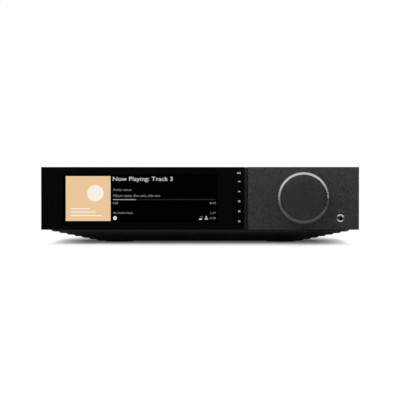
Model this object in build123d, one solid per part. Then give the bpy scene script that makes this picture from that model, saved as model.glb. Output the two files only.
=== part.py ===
from build123d import *
import math
import os

# A compact streaming amplifier, in millimetres.
# X runs to the right of the front, Y towards the rear, Z up.
# The origin is the middle of the footprint, on the surface that the feet stand on.

# How far a cutting body reaches past the material it cuts
past = 1.0

# Overall sizes
case_width = 318.0
case_depth = 317.0
plate_height = 62.8
knob_proud = 18.0
terminal_proud = 17.0

# Stepped base: tiers that shrink towards the floor, each with a rounded lower edge
foot_stand = 1.2
tier_count = 7
tier_drop = 1.8
first_drop = 2.2
first_inset = 8.2
tier_inset = 7.2
tier_edge_radius = 3.5
tier_corner = 8.0
base_wall = 2.0
base_boss_radius = 6.0
base_rib = 1.8
foot_seat = 1.2
foot_seat_gap = 0.1

# Sheet metal
sheet = 1.2
tray_flange = 14.0
tray_rear_flange = 6.4
bend_radius = 1.6
cover_setback = 0.9
cover_bend = 3.0
cover_gap = 0.2
rear_sheet = 1.5
rear_flange = 10.0
rear_flange_gap = 1.0

# Cover vents
vent_count = 26
vent_pitch = 8.0
vent_width = 3.2
vent_length = 46.0
vent_rows = 2
vent_row_gap = 10.0
vent_from_rear = 36.0

# Front assembly
skin_thick = 4.0
skin_edge = 0.15
frame_inset = 0.15
frame_wall = 3.0
frame_rim = 1.8
frame_cover_gap = 0.1
boss_sink = 0.8
frame_depth = 16.0
fascia_width = 111.1
strip_width = 4.1
screen_height = 48.8
screen_from_left = 22.0
screen_from_right = 26.7
screen_from_bottom = 7.0
screen_border = 2.2
screen_thick = 4.5
screen_bezel = 0.6
board_thick = 1.6
window_gap = 0.2

# Keys in the strip between lens and fascia
key_count = 6
key_pitch = 9.87
key_gap = 0.3
key_side_gap = 0.3
key_top_gap = 0.35
key_recess = 1.2
key_thick = 2.0
key_stem_width = 2.2
key_stem_height = 4.0
key_stem_drop = 2.2
key_stem_reach = 2.5
key_stem_gap = 0.1
key_barb = 0.5
key_barb_thick = 1.0
key_travel = 0.6
key_board_gap = 7.0
key_board_width = 19.0
key_board_overhang = 7.0
key_board_margin = 5.0
key_board_screw_inset = 8.0
key_board_screw_side = 3.4
switch_size = 5.0
switch_thick = 2.5
plunger_radius = 1.2
plunger_gap = 0.1

# Two-part control knob
knob_from_right = 56.3
knob_from_top = 30.8
ring_radius = 25.7
ring_bore_radius = 22.95
ring_lip = 0.45
ring_fascia_gap = 0.8
ring_bevel = 2.3
flute_count = 90
flute_depth = 0.4
flute_lip_depth = 0.1
ring_web_back = 5.5
ring_web = 2.5
ring_skirt = 3.4
ring_hub_radius = 7.5
ring_hub_back = 3.0
ring_hub_front = 11.0
dial_gap = 0.3
dial_recess = 0.5
dial_face = 2.1
dial_skirt = 1.5
dial_skirt_depth = 6.0
dial_hub_radius = 5.0
dial_edge = 0.4
dial_shaft_radius = 2.0
sleeve_radius = 3.5
shaft_fit = 0.05
bush_radius = 6.0
bush_proud = 2.4
bush_fit = 0.1
nut_thick = 2.2
nut_across_flats = 17.0
encoder_size = 26.0
encoder_depth = 10.0
sleeve_past_wall = 3.0
shaft_past_sleeve = 5.0

# Boards fixed behind the front frame
control_board_side = 7.0
control_board_rise = 5.0
control_board_drop = 1.0
control_board_screw_inset = 3.4
display_board_overhang = 5.5
display_board_screw_inset = 2.4
display_board_screw_rise = 6.0

# Headphone socket
jack_from_right = 18.6
jack_from_bottom = 11.4
jack_bore_radius = 1.8
jack_nose_radius = 2.2
jack_nose_proud = 0.2
jack_bore_depth = 15.7
jack_body = 12.0
collar_radius = 4.15
collar_stub_radius = 3.45
collar_proud = 1.0
collar_fit = 0.05

# Inner boards and their fixings
standoff_height = 6.0
standoff_across = 5.5
screw_radius = 1.45
screw_head_radius = 2.8
screw_head_thick = 1.8
screw_reach = 5.0
screw_hole_gap = 0.15
board_corner = 5.0
front_boss_radius = 3.5
small_screw_radius = 0.9
small_head_radius = 1.8
small_head_thick = 1.2
small_screw_reach = 3.0
screw_end_gap = 0.5
display_boss_wall = 0.3
key_boss_wall = 0.6
control_boss_wall = 1.0

# Boards, from left to right: the main board fills the width that the others leave
board_side_gap = 7.5
board_gap = 5.0
supply_board_width = 76.0
supply_board_depth = 150.0
amplifier_board_width = 72.0
amplifier_board_depth = 76.0
main_board_depth = 112.0
board_rear_gap = 3.0

# Heatsink
heatsink_width = 72.0
heatsink_depth = 60.0
heatsink_height = 42.0
heatsink_base = 5.0
heatsink_gap = 6.0
fin_count = 9
fin_thick = 1.8

# Power parts on the supply and amplifier boards
core_width = 38.0
core_depth = 32.0
core_height = 30.0
core_limb = 9.0
core_from_rear = 66.0
winding_overhang = 5.0
winding_gap = 0.3
capacitor_radius = 11.0
capacitor_height = 34.0
capacitor_count = 3
capacitor_edge = 1.0
capacitor_gap = 2.0
inductor_radius = 7.5
inductor_height = 12.0
inductor_waist = 0.8
inductor_flange = 1.5
power_pairs = 4
device_width = 10.0
device_thick = 4.5
device_height = 16.0
device_tab_thick = 1.5
device_tab_height = 6.4
module_width = 46.0
module_depth = 38.0
module_thick = 4.0
module_step = 1.2
module_border = 3.0
module_from_front = 12.0

# Speaker terminals, in two pairs above the amplifier board
post_pitch = 18.0
post_pair_pitch = 42.0
post_height = 25.0
post_radius = 3.0
post_bore_radius = 2.05
post_bore_depth = 13.0
post_inside = 12.0
insulator_radius = 8.0
insulator_thick = 2.5
insulator_spigot = 4.0
spigot_gap = 0.1
cap_radius = 7.4
cap_flute_depth = 0.9
cap_flutes = 12
cap_setback = 0.5
cap_seat_gap = 0.1
cap_fit = 0.05
post_nut_across = 10.0
post_nut_thick = 3.0

# Mains inlet and rocker switch
inlet_from_left = 33.0
power_height = 31.0
inlet_flange_width = 31.0
inlet_flange_height = 24.0
inlet_flange = 2.5
inlet_body_width = 27.4
inlet_body_height = 19.6
inlet_depth = 17.0
inlet_cavity_width = 24.0
inlet_cavity_height = 16.2
inlet_cavity_depth = 15.0
inlet_corner = 5.0
pin_width = 2.0
pin_height = 4.0
pin_spacing = 7.0
earth_raise = 4.0
pin_drop = 1.0
pin_recess = 4.6
pin_tail = 6.0
switch_from_inlet = 30.0
switch_flange_width = 15.0
switch_flange_height = 21.4
switch_flange = 2.0
switch_body_width = 13.0
switch_body_height = 19.4
switch_depth = 12.0
switch_back = 1.2
rocker_width = 10.0
rocker_length = 15.8
rocker_rise = 3.2
rocker_dip = 1.2
rocker_sink = 4.0
rocker_gap = 0.35
rocker_tilt = 8.0
rocker_pin_radius = 1.2
rocker_pin_length = 1.0
panel_gap = 0.2

# Signal sockets, in one row along the main board's rear edge
socket_margin = 16.0
socket_count = 6
rca_rise = 7.0
rca_pitch = 14.0
rca_block_width = 13.0
rca_block_depth = 10.0
rca_barrel_radius = 4.15
rca_root_radius = 3.85
rca_barrel_wall = 1.2
rca_barrel_proud = 9.5
rca_centre_radius = 1.65
rca_centre_setback = 0.6
rca_centre_floor = 1.0
rca_shoulder_radius = 4.9
rca_shoulder_proud = 0.5
optical_size = 10.4
optical_depth = 13.0
optical_recess = 8.4
optical_recess_depth = 8.0
optical_nose_radius = 1.5
optical_nose = 3.4
video_width = 14.2
video_height = 5.0
data_width = 12.6
data_height = 5.6
shell_thick = 0.6
shell_depth = 12.0
shell_proud = 0.5
tongue_thick = 1.8
tongue_side_gap = 1.0
tongue_recess = 1.5
network_width = 16.0
network_height = 13.4
network_depth = 18.0
network_opening_width = 11.8
network_opening_height = 7.6
network_opening_depth = 14.0
network_latch_width = 6.2
network_latch_height = 2.4
network_sill = 1.6
aerial_height = 49.0
aerial_radius = 3.17
aerial_proud = 8.5
aerial_bore_radius = 0.9
aerial_bore_depth = 6.0
aerial_nut_across = 9.0
aerial_nut_thick = 2.0
aerial_inside = 6.0

# Feet and outer screws
foot_radius = 15.0
foot_recess_radius = 5.0
foot_recess = 2.0
foot_inset = 24.0
foot_edge = 0.8
case_screw_radius = 1.45
case_screw_head_radius = 3.0
case_screw_head = 0.5
case_screw_reach = 3.6
side_screw_rise = 7.0
side_screw_inset = 50.0
rear_screw_rise = 4.5
rear_screw_edge = 18.0
rear_screw_pitch = 88.0
front_screw_from_screen = 12.0
front_screw_from_knob = 28.0

# Places worked out from the sizes above
half_width = case_width / 2
plate_bottom = foot_stand + (tier_count - 1) * tier_drop + first_drop
plate_top = plate_bottom + plate_height
front_y = knob_proud - (knob_proud + case_depth + terminal_proud) / 2
rear_y = front_y + case_depth
middle_y = (front_y + rear_y) / 2
frame_front = front_y + skin_thick
wall_back = frame_front + frame_wall
frame_back = frame_front + frame_depth
cover_half = half_width - cover_setback
cover_top = plate_top - cover_setback
tray_half = cover_half - sheet - cover_gap
floor_top = plate_bottom + sheet
panel_inner = rear_y - rear_sheet
board_bottom = floor_top + standoff_height
board_top = board_bottom + board_thick
fascia_left = half_width - fascia_width
lens_right = fascia_left - strip_width
strip_mid = (lens_right + fascia_left) / 2
knob_x = half_width - knob_from_right
knob_z = plate_top - knob_from_top
jack_x = half_width - jack_from_right
jack_z = plate_bottom + jack_from_bottom
screen_left = screen_from_left - half_width
screen_right = lens_right - screen_from_right
screen_low = plate_bottom + screen_from_bottom
screen_high = screen_low + screen_height
key_board_front = wall_back + key_board_gap
control_board_front = wall_back + encoder_depth
post_z = plate_bottom + post_height
power_z = plate_bottom + power_height
aerial_z = plate_bottom + aerial_height
board_rear = panel_inner - board_rear_gap
lowest_inset = first_inset + (tier_count - 1) * tier_inset
frame_half = cover_half - sheet - frame_cover_gap
frame_top = cover_top - sheet - frame_cover_gap
frame_low = plate_bottom + frame_inset
rim_low = frame_low + frame_rim
rim_top = frame_top - frame_rim
side_screw_z = plate_bottom + side_screw_rise
rear_screw_z = plate_bottom + rear_screw_rise
front_screw_z = rim_low + front_boss_radius - boss_sink
supply_left = board_side_gap - half_width
amplifier_left = supply_left + supply_board_width + board_gap
main_left = amplifier_left + amplifier_board_width + board_gap
main_right = half_width - board_side_gap
main_width = main_right - main_left
power_middle = amplifier_left + amplifier_board_width / 2
inlet_place = inlet_from_left - half_width
switch_place = inlet_place + switch_from_inlet
socket_step = (main_width - 2 * socket_margin) / (socket_count - 1)
socket_row = [main_left + socket_margin + step * socket_step for step in range(socket_count)]
rca_places = socket_row[:2]
optical_place, video_place, data_place, network_place = socket_row[2:]
aerial_places = (socket_row[0], socket_row[-1])
post_places = [
    power_middle + pair * post_pair_pitch / 2 + side * post_pitch / 2
    for pair in (-1, 1)
    for side in (-1, 1)
]
foot_x = half_width - lowest_inset - foot_inset
foot_y = case_depth / 2 - lowest_inset - foot_inset


def block(x_range, y_range, z_range):
    """A box between two corners, given as a pair of limits along each axis."""
    sizes = [high - low for low, high in (x_range, y_range, z_range)]
    middles = [(high + low) / 2 for low, high in (x_range, y_range, z_range)]
    return Location(tuple(middles)) * Box(*sizes)


def around(middle, size):
    """The two limits of a length that is centred on a place."""
    return (middle - size / 2, middle + size / 2)


def rod_x(radius, x_range, y, z):
    """A round bar along X."""
    length = x_range[1] - x_range[0]
    bar = Cylinder(radius, length)
    return Location((sum(x_range) / 2, y, z), (0, 90, 0)) * bar


def rod_y(radius, x, y_range, z):
    """A round bar along Y."""
    length = y_range[1] - y_range[0]
    bar = Cylinder(radius, length)
    return Location((x, sum(y_range) / 2, z), (90, 0, 0)) * bar


def rod_z(radius, x, y, z_range):
    """A round bar along Z."""
    length = z_range[1] - z_range[0]
    bar = Cylinder(radius, length)
    return Location((x, y, sum(z_range) / 2)) * bar


def hex_y(across_flats, x, y_range, z):
    """A hexagonal bar along Y."""
    outline = RegularPolygon(across_flats / 2, 6, major_radius=False)
    bar = extrude(outline, y_range[1] - y_range[0])
    return Location((x, y_range[1], z), (90, 0, 0)) * bar


def group(solids):
    """Separate pieces that share one node."""
    return Compound(children=list(solids))


def face_edges(solid, axis, last=True):
    """The edges of the face that lies furthest along an axis."""
    faces = solid.faces().sort_by(axis)
    return faces[-1 if last else 0].edges()


def fluted_outline(radius, depth, count):
    """A toothed circle: outer points at the radius, inner ones a depth below it."""
    points = []
    for step in range(2 * count):
        reach = radius - depth * (step % 2)
        angle = math.pi * step / count
        points.append((reach * math.cos(angle), reach * math.sin(angle)))
    return make_face(Polyline(*points, close=True))


def on_front(shape, x, z):
    """Stands a shape built along +Z on the front plate, pointing at the viewer."""
    return Location((x, front_y, z), (90, 0, 0)) * shape


def on_rear(shape, x, z):
    """Stands a shape built along +Z on the rear panel, pointing away from it."""
    return Location((x, rear_y, z), (-90, 0, 0)) * shape


def tier_bottom(index):
    """Height of the flat underside of a tier, counted from the top."""
    return plate_bottom - first_drop - index * tier_drop


def tier(index):
    """One tier of the base: a rounded plate with a large radius on its lower edge."""
    inset = first_inset + index * tier_inset
    outline = RectangleRounded(case_width - 2 * inset, case_depth - 2 * inset, tier_corner)
    plate = extrude(outline, plate_bottom - tier_bottom(index) + tier_edge_radius)
    plate = fillet(face_edges(plate, Axis.Z, last=False), tier_edge_radius)
    return Location((0, middle_y, tier_bottom(index))) * plate


def tier_hollow(index):
    """The space above a tier's floor, one wall inside its outline."""
    inset = first_inset + index * tier_inset + base_wall + tier_drop / 2
    depth_limits = (front_y + inset, rear_y - inset)
    floor = tier_bottom(index) + base_wall
    return block((inset - half_width, half_width - inset), depth_limits, (floor, plate_bottom))


def foot_places():
    """The middles of the four feet."""
    return [
        (side * foot_x, middle_y + end * foot_y)
        for side in (-1, 1)
        for end in (-1, 1)
    ]


def stepped_base():
    """The moulded base: a stack of tiers, hollow above, with bosses over the feet."""
    base = tier(0)
    for index in range(1, tier_count):
        base += tier(index)
    above = (plate_bottom, plate_bottom + 2 * tier_edge_radius)
    base -= block((-half_width, half_width), (front_y, rear_y), above)
    for index in range(tier_count):
        floor = tier_bottom(index) + base_wall
        if floor < plate_bottom:
            base -= tier_hollow(index)
    low = foot_stand + base_wall
    for side in (-1, 1):
        rib_y = (middle_y - foot_y, middle_y + foot_y)
        base += block(around(side * foot_x, base_rib), rib_y, (low, plate_bottom))
        rib_x = (-foot_x, foot_x)
        base += block(rib_x, around(middle_y + side * foot_y, base_rib), (low, plate_bottom))
    for x, y in foot_places():
        base += rod_z(base_boss_radius, x, y, (low, plate_bottom))
    seat_radius = foot_radius + foot_seat_gap
    for x, y in foot_places():
        base -= rod_z(screw_radius + screw_hole_gap, x, y, (foot_stand - past, plate_bottom + past))
        base -= rod_z(seat_radius, x, y, (foot_stand - past, foot_stand + foot_seat))
    return base


def foot():
    """A rubber foot with a recess for the head of its screw."""
    height = foot_stand + foot_seat
    pad = rod_z(foot_radius, 0, 0, (0, height))
    pad = chamfer(face_edges(pad, Axis.Z, last=False), foot_edge)
    pad -= rod_z(foot_recess_radius, 0, 0, (-past, foot_recess))
    pad -= rod_z(screw_radius + screw_hole_gap, 0, 0, (0, height + past))
    return pad


def feet():
    """The four feet under the lowest tier."""
    return group(Location((x, y, 0)) * foot() for x, y in foot_places())


def foot_screws():
    """Screws through the feet and the base into the tray floor."""
    head = (foot_recess - screw_head_thick, foot_recess)
    shank = (foot_recess, floor_top)
    screws = []
    for x, y in foot_places():
        screw = rod_z(screw_head_radius, x, y, head) + rod_z(screw_radius, x, y, shank)
        screws.append(screw)
    return group(screws)


def chassis_tray():
    """The folded steel tray that carries the boards, open at the top."""
    wide = (-tray_half, tray_half)
    deep = (frame_back, panel_inner)
    high = (plate_bottom, plate_bottom + tray_flange)
    tray = block(wide, deep, high)
    tray = fillet(face_edges(tray, Axis.Z, last=False), bend_radius)
    inside = block(
        (wide[0] + sheet, wide[1] - sheet),
        (deep[0] + sheet, deep[1] - sheet),
        (floor_top, high[1] + past),
    )
    tray -= fillet(face_edges(inside, Axis.Z, last=False), bend_radius - sheet)
    tray -= block(
        (wide[0] + sheet, wide[1] - sheet),
        (panel_inner - sheet - past, panel_inner + past),
        (plate_bottom + tray_rear_flange, high[1] + past),
    )
    for x, y in foot_places():
        tray -= rod_z(screw_radius, x, y, (plate_bottom - past, floor_top + past))
    wall = (frame_back - past, frame_back + sheet + past)
    for x in front_screw_places():
        tray -= rod_y(screw_radius + screw_hole_gap, x, wall, front_screw_z)
    for side in (-1, 1):
        for y in side_screw_places():
            span = sorted((side * (tray_half - sheet - past), side * (tray_half + past)))
            tray -= rod_x(case_screw_radius, span, y, side_screw_z)
    wall = (panel_inner - sheet - past, panel_inner + past)
    for x in rear_screw_places():
        tray -= rod_y(case_screw_radius, x, wall, rear_screw_z)
    return tray


def side_screw_places():
    """Where the cover is screwed to the tray along each side."""
    return (frame_back + side_screw_inset, rear_y - side_screw_inset)


def rear_screw_places():
    """Where the rear panel is screwed to the tray."""
    outer = half_width - rear_screw_edge
    inner = outer - rear_screw_pitch
    return (-outer, -inner, inner, outer)


def front_screw_places():
    """Where the front frame is screwed to the tray."""
    outer = frame_half - frame_rim - front_boss_radius + boss_sink
    return (
        -outer,
        screen_right + front_screw_from_screen,
        knob_x - front_screw_from_knob,
        outer,
    )


def vent_field():
    """Rows of round-ended slots for the top of the cover."""
    slot = extrude(SlotOverall(vent_length, vent_width, rotation=90), 4 * sheet)
    slots = []
    for row in range(vent_rows):
        from_rear = vent_from_rear + row * (vent_length + vent_row_gap) + vent_length / 2
        for step in range(vent_count):
            x = (step - (vent_count - 1) / 2) * vent_pitch
            slots.append(Location((x, rear_y - from_rear, cover_top - 2 * sheet)) * slot)
    return slots


def top_cover():
    """The wrap-around cover: a top and two sides folded from one sheet."""
    wide = (-cover_half, cover_half)
    deep = (wall_back, rear_y)
    high = (plate_bottom, cover_top)
    cover = block(wide, deep, high)
    bends = cover.edges().filter_by(Axis.Y).group_by(Axis.Z)[-1]
    cover = fillet(bends, cover_bend)
    inside = block(
        (wide[0] + sheet, wide[1] - sheet),
        (deep[0] - past, deep[1] + past),
        (high[0] - past, high[1] - sheet),
    )
    inner_bends = inside.edges().filter_by(Axis.Y).group_by(Axis.Z)[-1]
    cover -= fillet(inner_bends, cover_bend - sheet)
    for side in (-1, 1):
        for y in side_screw_places():
            span = sorted((side * (cover_half - sheet - past), side * (cover_half + past)))
            cover -= rod_x(case_screw_radius + screw_hole_gap, span, y, side_screw_z)
    cover -= vent_field()
    return cover


def rear_panel():
    """The rear panel, with folded flanges under the cover and holes for every socket."""
    half = cover_half - sheet - cover_gap
    top = cover_top - sheet - cover_gap
    panel = block((-half, half), (panel_inner, rear_y), (plate_bottom, top))
    fold = (panel_inner - rear_flange, panel_inner)
    panel += block((-half, half), fold, (top - sheet, top))
    flange_low = plate_bottom + tray_flange + rear_flange_gap
    for side in (-1, 1):
        span = sorted((side * (half - sheet), side * half))
        panel += block(span, fold, (flange_low, top))
    outline = block((-half, half), (fold[0] - past, rear_y + past), (plate_bottom - past, top))
    corners = outline.edges().filter_by(Axis.Y).group_by(Axis.Z)[-1]
    panel &= fillet(corners, cover_bend - sheet)
    for cut in rear_cuts():
        panel -= cut
    return panel


def rear_cuts():
    """The openings of the rear panel, each its part's size plus a gap."""
    through = (panel_inner - past, rear_y + past)
    cuts = [rod_y(insulator_spigot + spigot_gap, x, through, post_z) for x in post_places]
    cuts.append(
        block(
            around(inlet_place, inlet_body_width + 2 * panel_gap),
            through,
            around(power_z, inlet_body_height + 2 * panel_gap),
        )
    )
    cuts.append(
        block(
            around(switch_place, switch_body_width + 2 * panel_gap),
            through,
            around(power_z, switch_body_height + 2 * panel_gap),
        )
    )
    for x in rca_places:
        for z in rca_heights():
            cuts.append(rod_y(rca_shoulder_radius + panel_gap, x, through, z))
    for x, width, height in board_sockets():
        low = board_top - panel_gap
        opening = (low, board_top + height + panel_gap)
        cuts.append(block(around(x, width + 2 * panel_gap), through, opening))
    for x in aerial_places:
        cuts.append(rod_y(aerial_radius + panel_gap, x, through, aerial_z))
    for x in rear_screw_places():
        cuts.append(rod_y(case_screw_radius + screw_hole_gap, x, through, rear_screw_z))
    return cuts


def rca_heights():
    """The heights of the two phono sockets in one block."""
    low = board_top + rca_rise
    return (low, low + rca_pitch)


def board_sockets():
    """Place, width and height of each socket that stands on the main board."""
    return (
        (optical_place, optical_size, optical_size),
        (video_place, video_width + 2 * shell_thick, video_height + 2 * shell_thick),
        (data_place, data_width + 2 * shell_thick, data_height + 2 * shell_thick),
        (network_place, network_width, network_height),
    )


def case_screws():
    """The screws seen from outside: two on each side and four at the rear."""
    screws = []
    for side in (-1, 1):
        for y in side_screw_places():
            outer = side * cover_half
            head = sorted((outer, outer + side * case_screw_head))
            shank = sorted((outer, outer - side * case_screw_reach))
            screw = rod_x(case_screw_head_radius, head, y, side_screw_z)
            screws.append(screw + rod_x(case_screw_radius, shank, y, side_screw_z))
    for x in rear_screw_places():
        head = (rear_y, rear_y + screw_head_thick)
        shank = (rear_y - case_screw_reach, rear_y)
        screw = rod_y(case_screw_head_radius, x, head, rear_screw_z)
        screws.append(screw + rod_y(case_screw_radius, x, shank, rear_screw_z))
    return group(screws)


def key_top(index):
    """The upper edge of a key, counted from the top."""
    return plate_top - key_top_gap - index * key_pitch


def key_middle(index):
    """The height of a key's stem."""
    return key_top(index) - key_pitch / 2 - key_stem_drop


def key_window(index):
    """The hole in the front frame that guides a key's stem."""
    return block(
        around(strip_mid, key_stem_width + 2 * key_stem_gap),
        (frame_front - past, wall_back + past),
        around(key_middle(index), key_stem_height + 2 * key_stem_gap),
    )


def key(index):
    """A slim bar with a stem that snaps in behind the frame."""
    last = index == key_count - 1
    low = plate_bottom + key_top_gap if last else key_top(index + 1) + key_gap
    front = front_y + key_recess
    cap = block(
        around(strip_mid, strip_width - 2 * key_side_gap),
        (front, front + key_thick),
        (low, key_top(index)),
    )
    cap = chamfer(face_edges(cap, Axis.Y, last=False), key_gap)
    stem_end = wall_back + key_stem_reach
    stem = block(
        around(strip_mid, key_stem_width),
        (front + key_thick, stem_end),
        around(key_middle(index), key_stem_height),
    )
    barb_front = wall_back + key_stem_gap
    barb = block(
        around(strip_mid, key_stem_width),
        (barb_front, barb_front + key_barb_thick),
        around(key_middle(index), key_stem_height + 2 * key_barb),
    )
    return cap + stem + barb


def key_board_limits():
    """The key board's width and height, between the lens window and the knob."""
    right = strip_mid + key_board_overhang
    high = (plate_bottom + key_board_margin, plate_top - key_board_margin)
    return (right - key_board_width, right), high


def key_board():
    """The narrow board behind the keys."""
    wide, high = key_board_limits()
    back = key_board_front + board_thick
    board = block(wide, (key_board_front, back), high)
    for x, z in key_board_screws():
        hole = (key_board_front - past, back + past)
        board -= rod_y(small_screw_radius + screw_hole_gap, x, hole, z)
    return board


def key_board_screws():
    """Screw places of the key board, on the side away from the knob."""
    wide, high = key_board_limits()
    x = wide[0] + key_board_screw_side
    return [(x, high[0] + key_board_screw_inset), (x, high[1] - key_board_screw_inset)]


def key_switches():
    """Six push switches on the key board, one behind each stem."""
    switches = []
    top = key_board_front - switch_thick
    tip = wall_back + key_stem_reach + key_travel + plunger_gap
    for index in range(key_count):
        z = key_middle(index)
        wide = around(strip_mid, switch_size)
        body = block(wide, (top, key_board_front), around(z, switch_size))
        switches.append(body + rod_y(plunger_radius, strip_mid, (tip, top), z))
    return group(switches)


def display_board_limits():
    """The display board reaches past the screen window to its pads."""
    overhang = screen_border + display_board_overhang
    return (screen_left - overhang, screen_right + overhang), (screen_low, screen_high)


def display_board_screws():
    """Screw places at the display board's four corners."""
    wide, high = display_board_limits()
    return [
        (x, z)
        for x in (wide[0] + display_board_screw_inset, wide[1] - display_board_screw_inset)
        for z in (high[0] + display_board_screw_rise, high[1] - display_board_screw_rise)
    ]


def control_board_limits():
    """The control board spans the encoder and the headphone socket."""
    left = knob_x - encoder_size / 2 - control_board_side
    low = jack_z - jack_body / 2 - control_board_drop
    high = knob_z + encoder_size / 2 + control_board_rise
    return (left, jack_x + jack_body / 2), (low, high)


def control_board_screws():
    """Screw places at three corners of the control board; the socket fills the fourth."""
    wide, high = control_board_limits()
    inset = control_board_screw_inset
    return [
        (wide[0] + inset, high[1] - inset),
        (wide[1] - inset, high[1] - inset),
        (wide[0] + inset, high[0] + inset),
    ]


def front_frame():
    """The moulded carrier behind the lens and the fascia."""
    half = half_width - frame_inset
    frame = block((-half, half), (frame_front, wall_back), (frame_low, plate_top - frame_inset))
    rim = block((-frame_half, frame_half), (wall_back, frame_back), (frame_low, frame_top))
    upper = rim.edges().filter_by(Axis.Y).group_by(Axis.Z)[-1]
    rim = fillet(upper, cover_bend - sheet)
    rim -= block(
        (frame_rim - frame_half, frame_half - frame_rim),
        (wall_back - past, frame_back + past),
        (rim_low, rim_top),
    )
    frame += rim
    for x in front_screw_places():
        frame += rod_y(front_boss_radius, x, (wall_back, frame_back), front_screw_z)
    for (x, z), end, radius in small_bosses():
        frame += rod_y(radius, x, (wall_back, end), z)
    border = screen_border + window_gap
    frame -= block(
        (screen_left - border, screen_right + border),
        (frame_front - past, wall_back + past),
        (screen_low - border, screen_high + border),
    )
    for index in range(key_count):
        frame -= key_window(index)
    through = (frame_front - past, wall_back + past)
    frame -= rod_y(bush_radius + bush_fit, knob_x, through, knob_z)
    frame -= rod_y(jack_nose_radius + bush_fit, jack_x, through, jack_z)
    for x in front_screw_places():
        hole = (frame_back - screw_reach - screw_end_gap, frame_back + past)
        frame -= rod_y(screw_radius, x, hole, front_screw_z)
    for (x, z), end, _radius in small_bosses():
        hole = (end - small_screw_reach - screw_end_gap, end + past)
        frame -= rod_y(small_screw_radius, x, hole, z)
    return frame


def small_bosses():
    """Bosses that hold the three front boards off the frame's wall."""
    rows = (
        (display_board_screws(), frame_front + screen_thick, display_boss_wall),
        (key_board_screws(), key_board_front, key_boss_wall),
        (control_board_screws(), control_board_front, control_boss_wall),
    )
    return [
        (place, end, small_head_radius + wall)
        for places, end, wall in rows
        for place in places
    ]


def display_lens():
    """The wide glossy lens over the screen."""
    wide = (-half_width, lens_right)
    lens = block(wide, (front_y, frame_front), (plate_bottom, plate_top))
    return chamfer(face_edges(lens, Axis.Y, last=False), skin_edge)


def fascia_plate():
    """The aluminium plate round the knob and the headphone socket."""
    wide = (fascia_left, half_width)
    plate = block(wide, (front_y, frame_front), (plate_bottom, plate_top))
    plate = chamfer(face_edges(plate, Axis.Y, last=False), skin_edge)
    through = (front_y - past, frame_front + past)
    plate -= rod_y(bush_radius + bush_fit, knob_x, through, knob_z)
    plate -= rod_y(collar_stub_radius + collar_fit, jack_x, through, jack_z)
    return plate


def lcd_panel():
    """The screen: a flat panel with its active area set back inside a thin bezel."""
    panel = block(
        (screen_left - screen_border, screen_right + screen_border),
        (frame_front, frame_front + screen_thick),
        (screen_low - screen_border, screen_high + screen_border),
    )
    panel -= block(
        (screen_left, screen_right),
        (frame_front - past, frame_front + screen_bezel),
        (screen_low, screen_high),
    )
    return panel


def display_board():
    """The board that holds the screen in its window."""
    wide, high = display_board_limits()
    front = frame_front + screen_thick
    board = block(wide, (front, front + board_thick), high)
    for x, z in display_board_screws():
        hole = (front - past, front + board_thick + past)
        board -= rod_y(small_screw_radius + screw_hole_gap, x, hole, z)
    return board


def control_board():
    """The board behind the knob's encoder and the headphone socket."""
    wide, high = control_board_limits()
    front = control_board_front
    board = block(wide, (front, front + board_thick), high)
    for x, z in control_board_screws():
        hole = (front - past, front + board_thick + past)
        board -= rod_y(small_screw_radius + screw_hole_gap, x, hole, z)
    return board


def volume_ring():
    """The outer knob: a fluted ring on a web and a hub, bevelled towards its lip."""
    side_top = knob_proud - ring_bevel
    lip = ring_bore_radius + ring_lip
    outline = fluted_outline(ring_radius, flute_depth, flute_count)
    side = extrude(outline, side_top - ring_fascia_gap)
    ring = Location((0, 0, ring_fascia_gap)) * side
    sections = [
        Location((0, 0, side_top)) * outline,
        Location((0, 0, knob_proud)) * fluted_outline(lip, flute_lip_depth, flute_count),
    ]
    ring += loft(sections, ruled=True)
    web_front = ring_web_back + ring_web
    ring -= rod_z(ring_bore_radius, 0, 0, (web_front, knob_proud + past))
    ring -= rod_z(ring_radius - ring_skirt, 0, 0, (0, ring_web_back))
    ring += rod_z(ring_hub_radius, 0, 0, (ring_hub_back, ring_hub_front))
    ring -= rod_z(sleeve_radius, 0, 0, (0, knob_proud))
    return on_front(ring, knob_x, knob_z)


def sleeve_end():
    """How far behind the front face the sleeve ends, inside the encoder."""
    return skin_thick + frame_wall + sleeve_past_wall


def volume_sleeve():
    """The hollow shaft that the volume ring turns."""
    length = (-sleeve_end(), ring_hub_front)
    sleeve = rod_z(sleeve_radius, 0, 0, length)
    sleeve -= rod_z(dial_shaft_radius + shaft_fit, 0, 0, (length[0] - past, length[1] + past))
    return on_front(sleeve, knob_x, knob_z)


def source_dial():
    """The inner dial: a shallow cup with a hub, set just inside the ring's lip."""
    radius = ring_bore_radius - dial_gap
    face = knob_proud - dial_recess
    floor = face - dial_face
    dial = rod_z(radius, 0, 0, (face - dial_skirt_depth, face))
    dial = chamfer(face_edges(dial, Axis.Z), dial_edge)
    dial -= rod_z(radius - dial_skirt, 0, 0, (0, floor))
    dial += rod_z(dial_hub_radius, 0, 0, (ring_hub_front + dial_gap, floor))
    dial -= rod_z(dial_shaft_radius, 0, 0, (0, floor))
    return on_front(dial, knob_x, knob_z)


def dial_shaft():
    """The solid shaft of the dial, running inside the sleeve."""
    top = knob_proud - dial_recess - dial_face
    bottom = -sleeve_end() - shaft_past_sleeve
    return on_front(rod_z(dial_shaft_radius, 0, 0, (bottom, top)), knob_x, knob_z)


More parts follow.
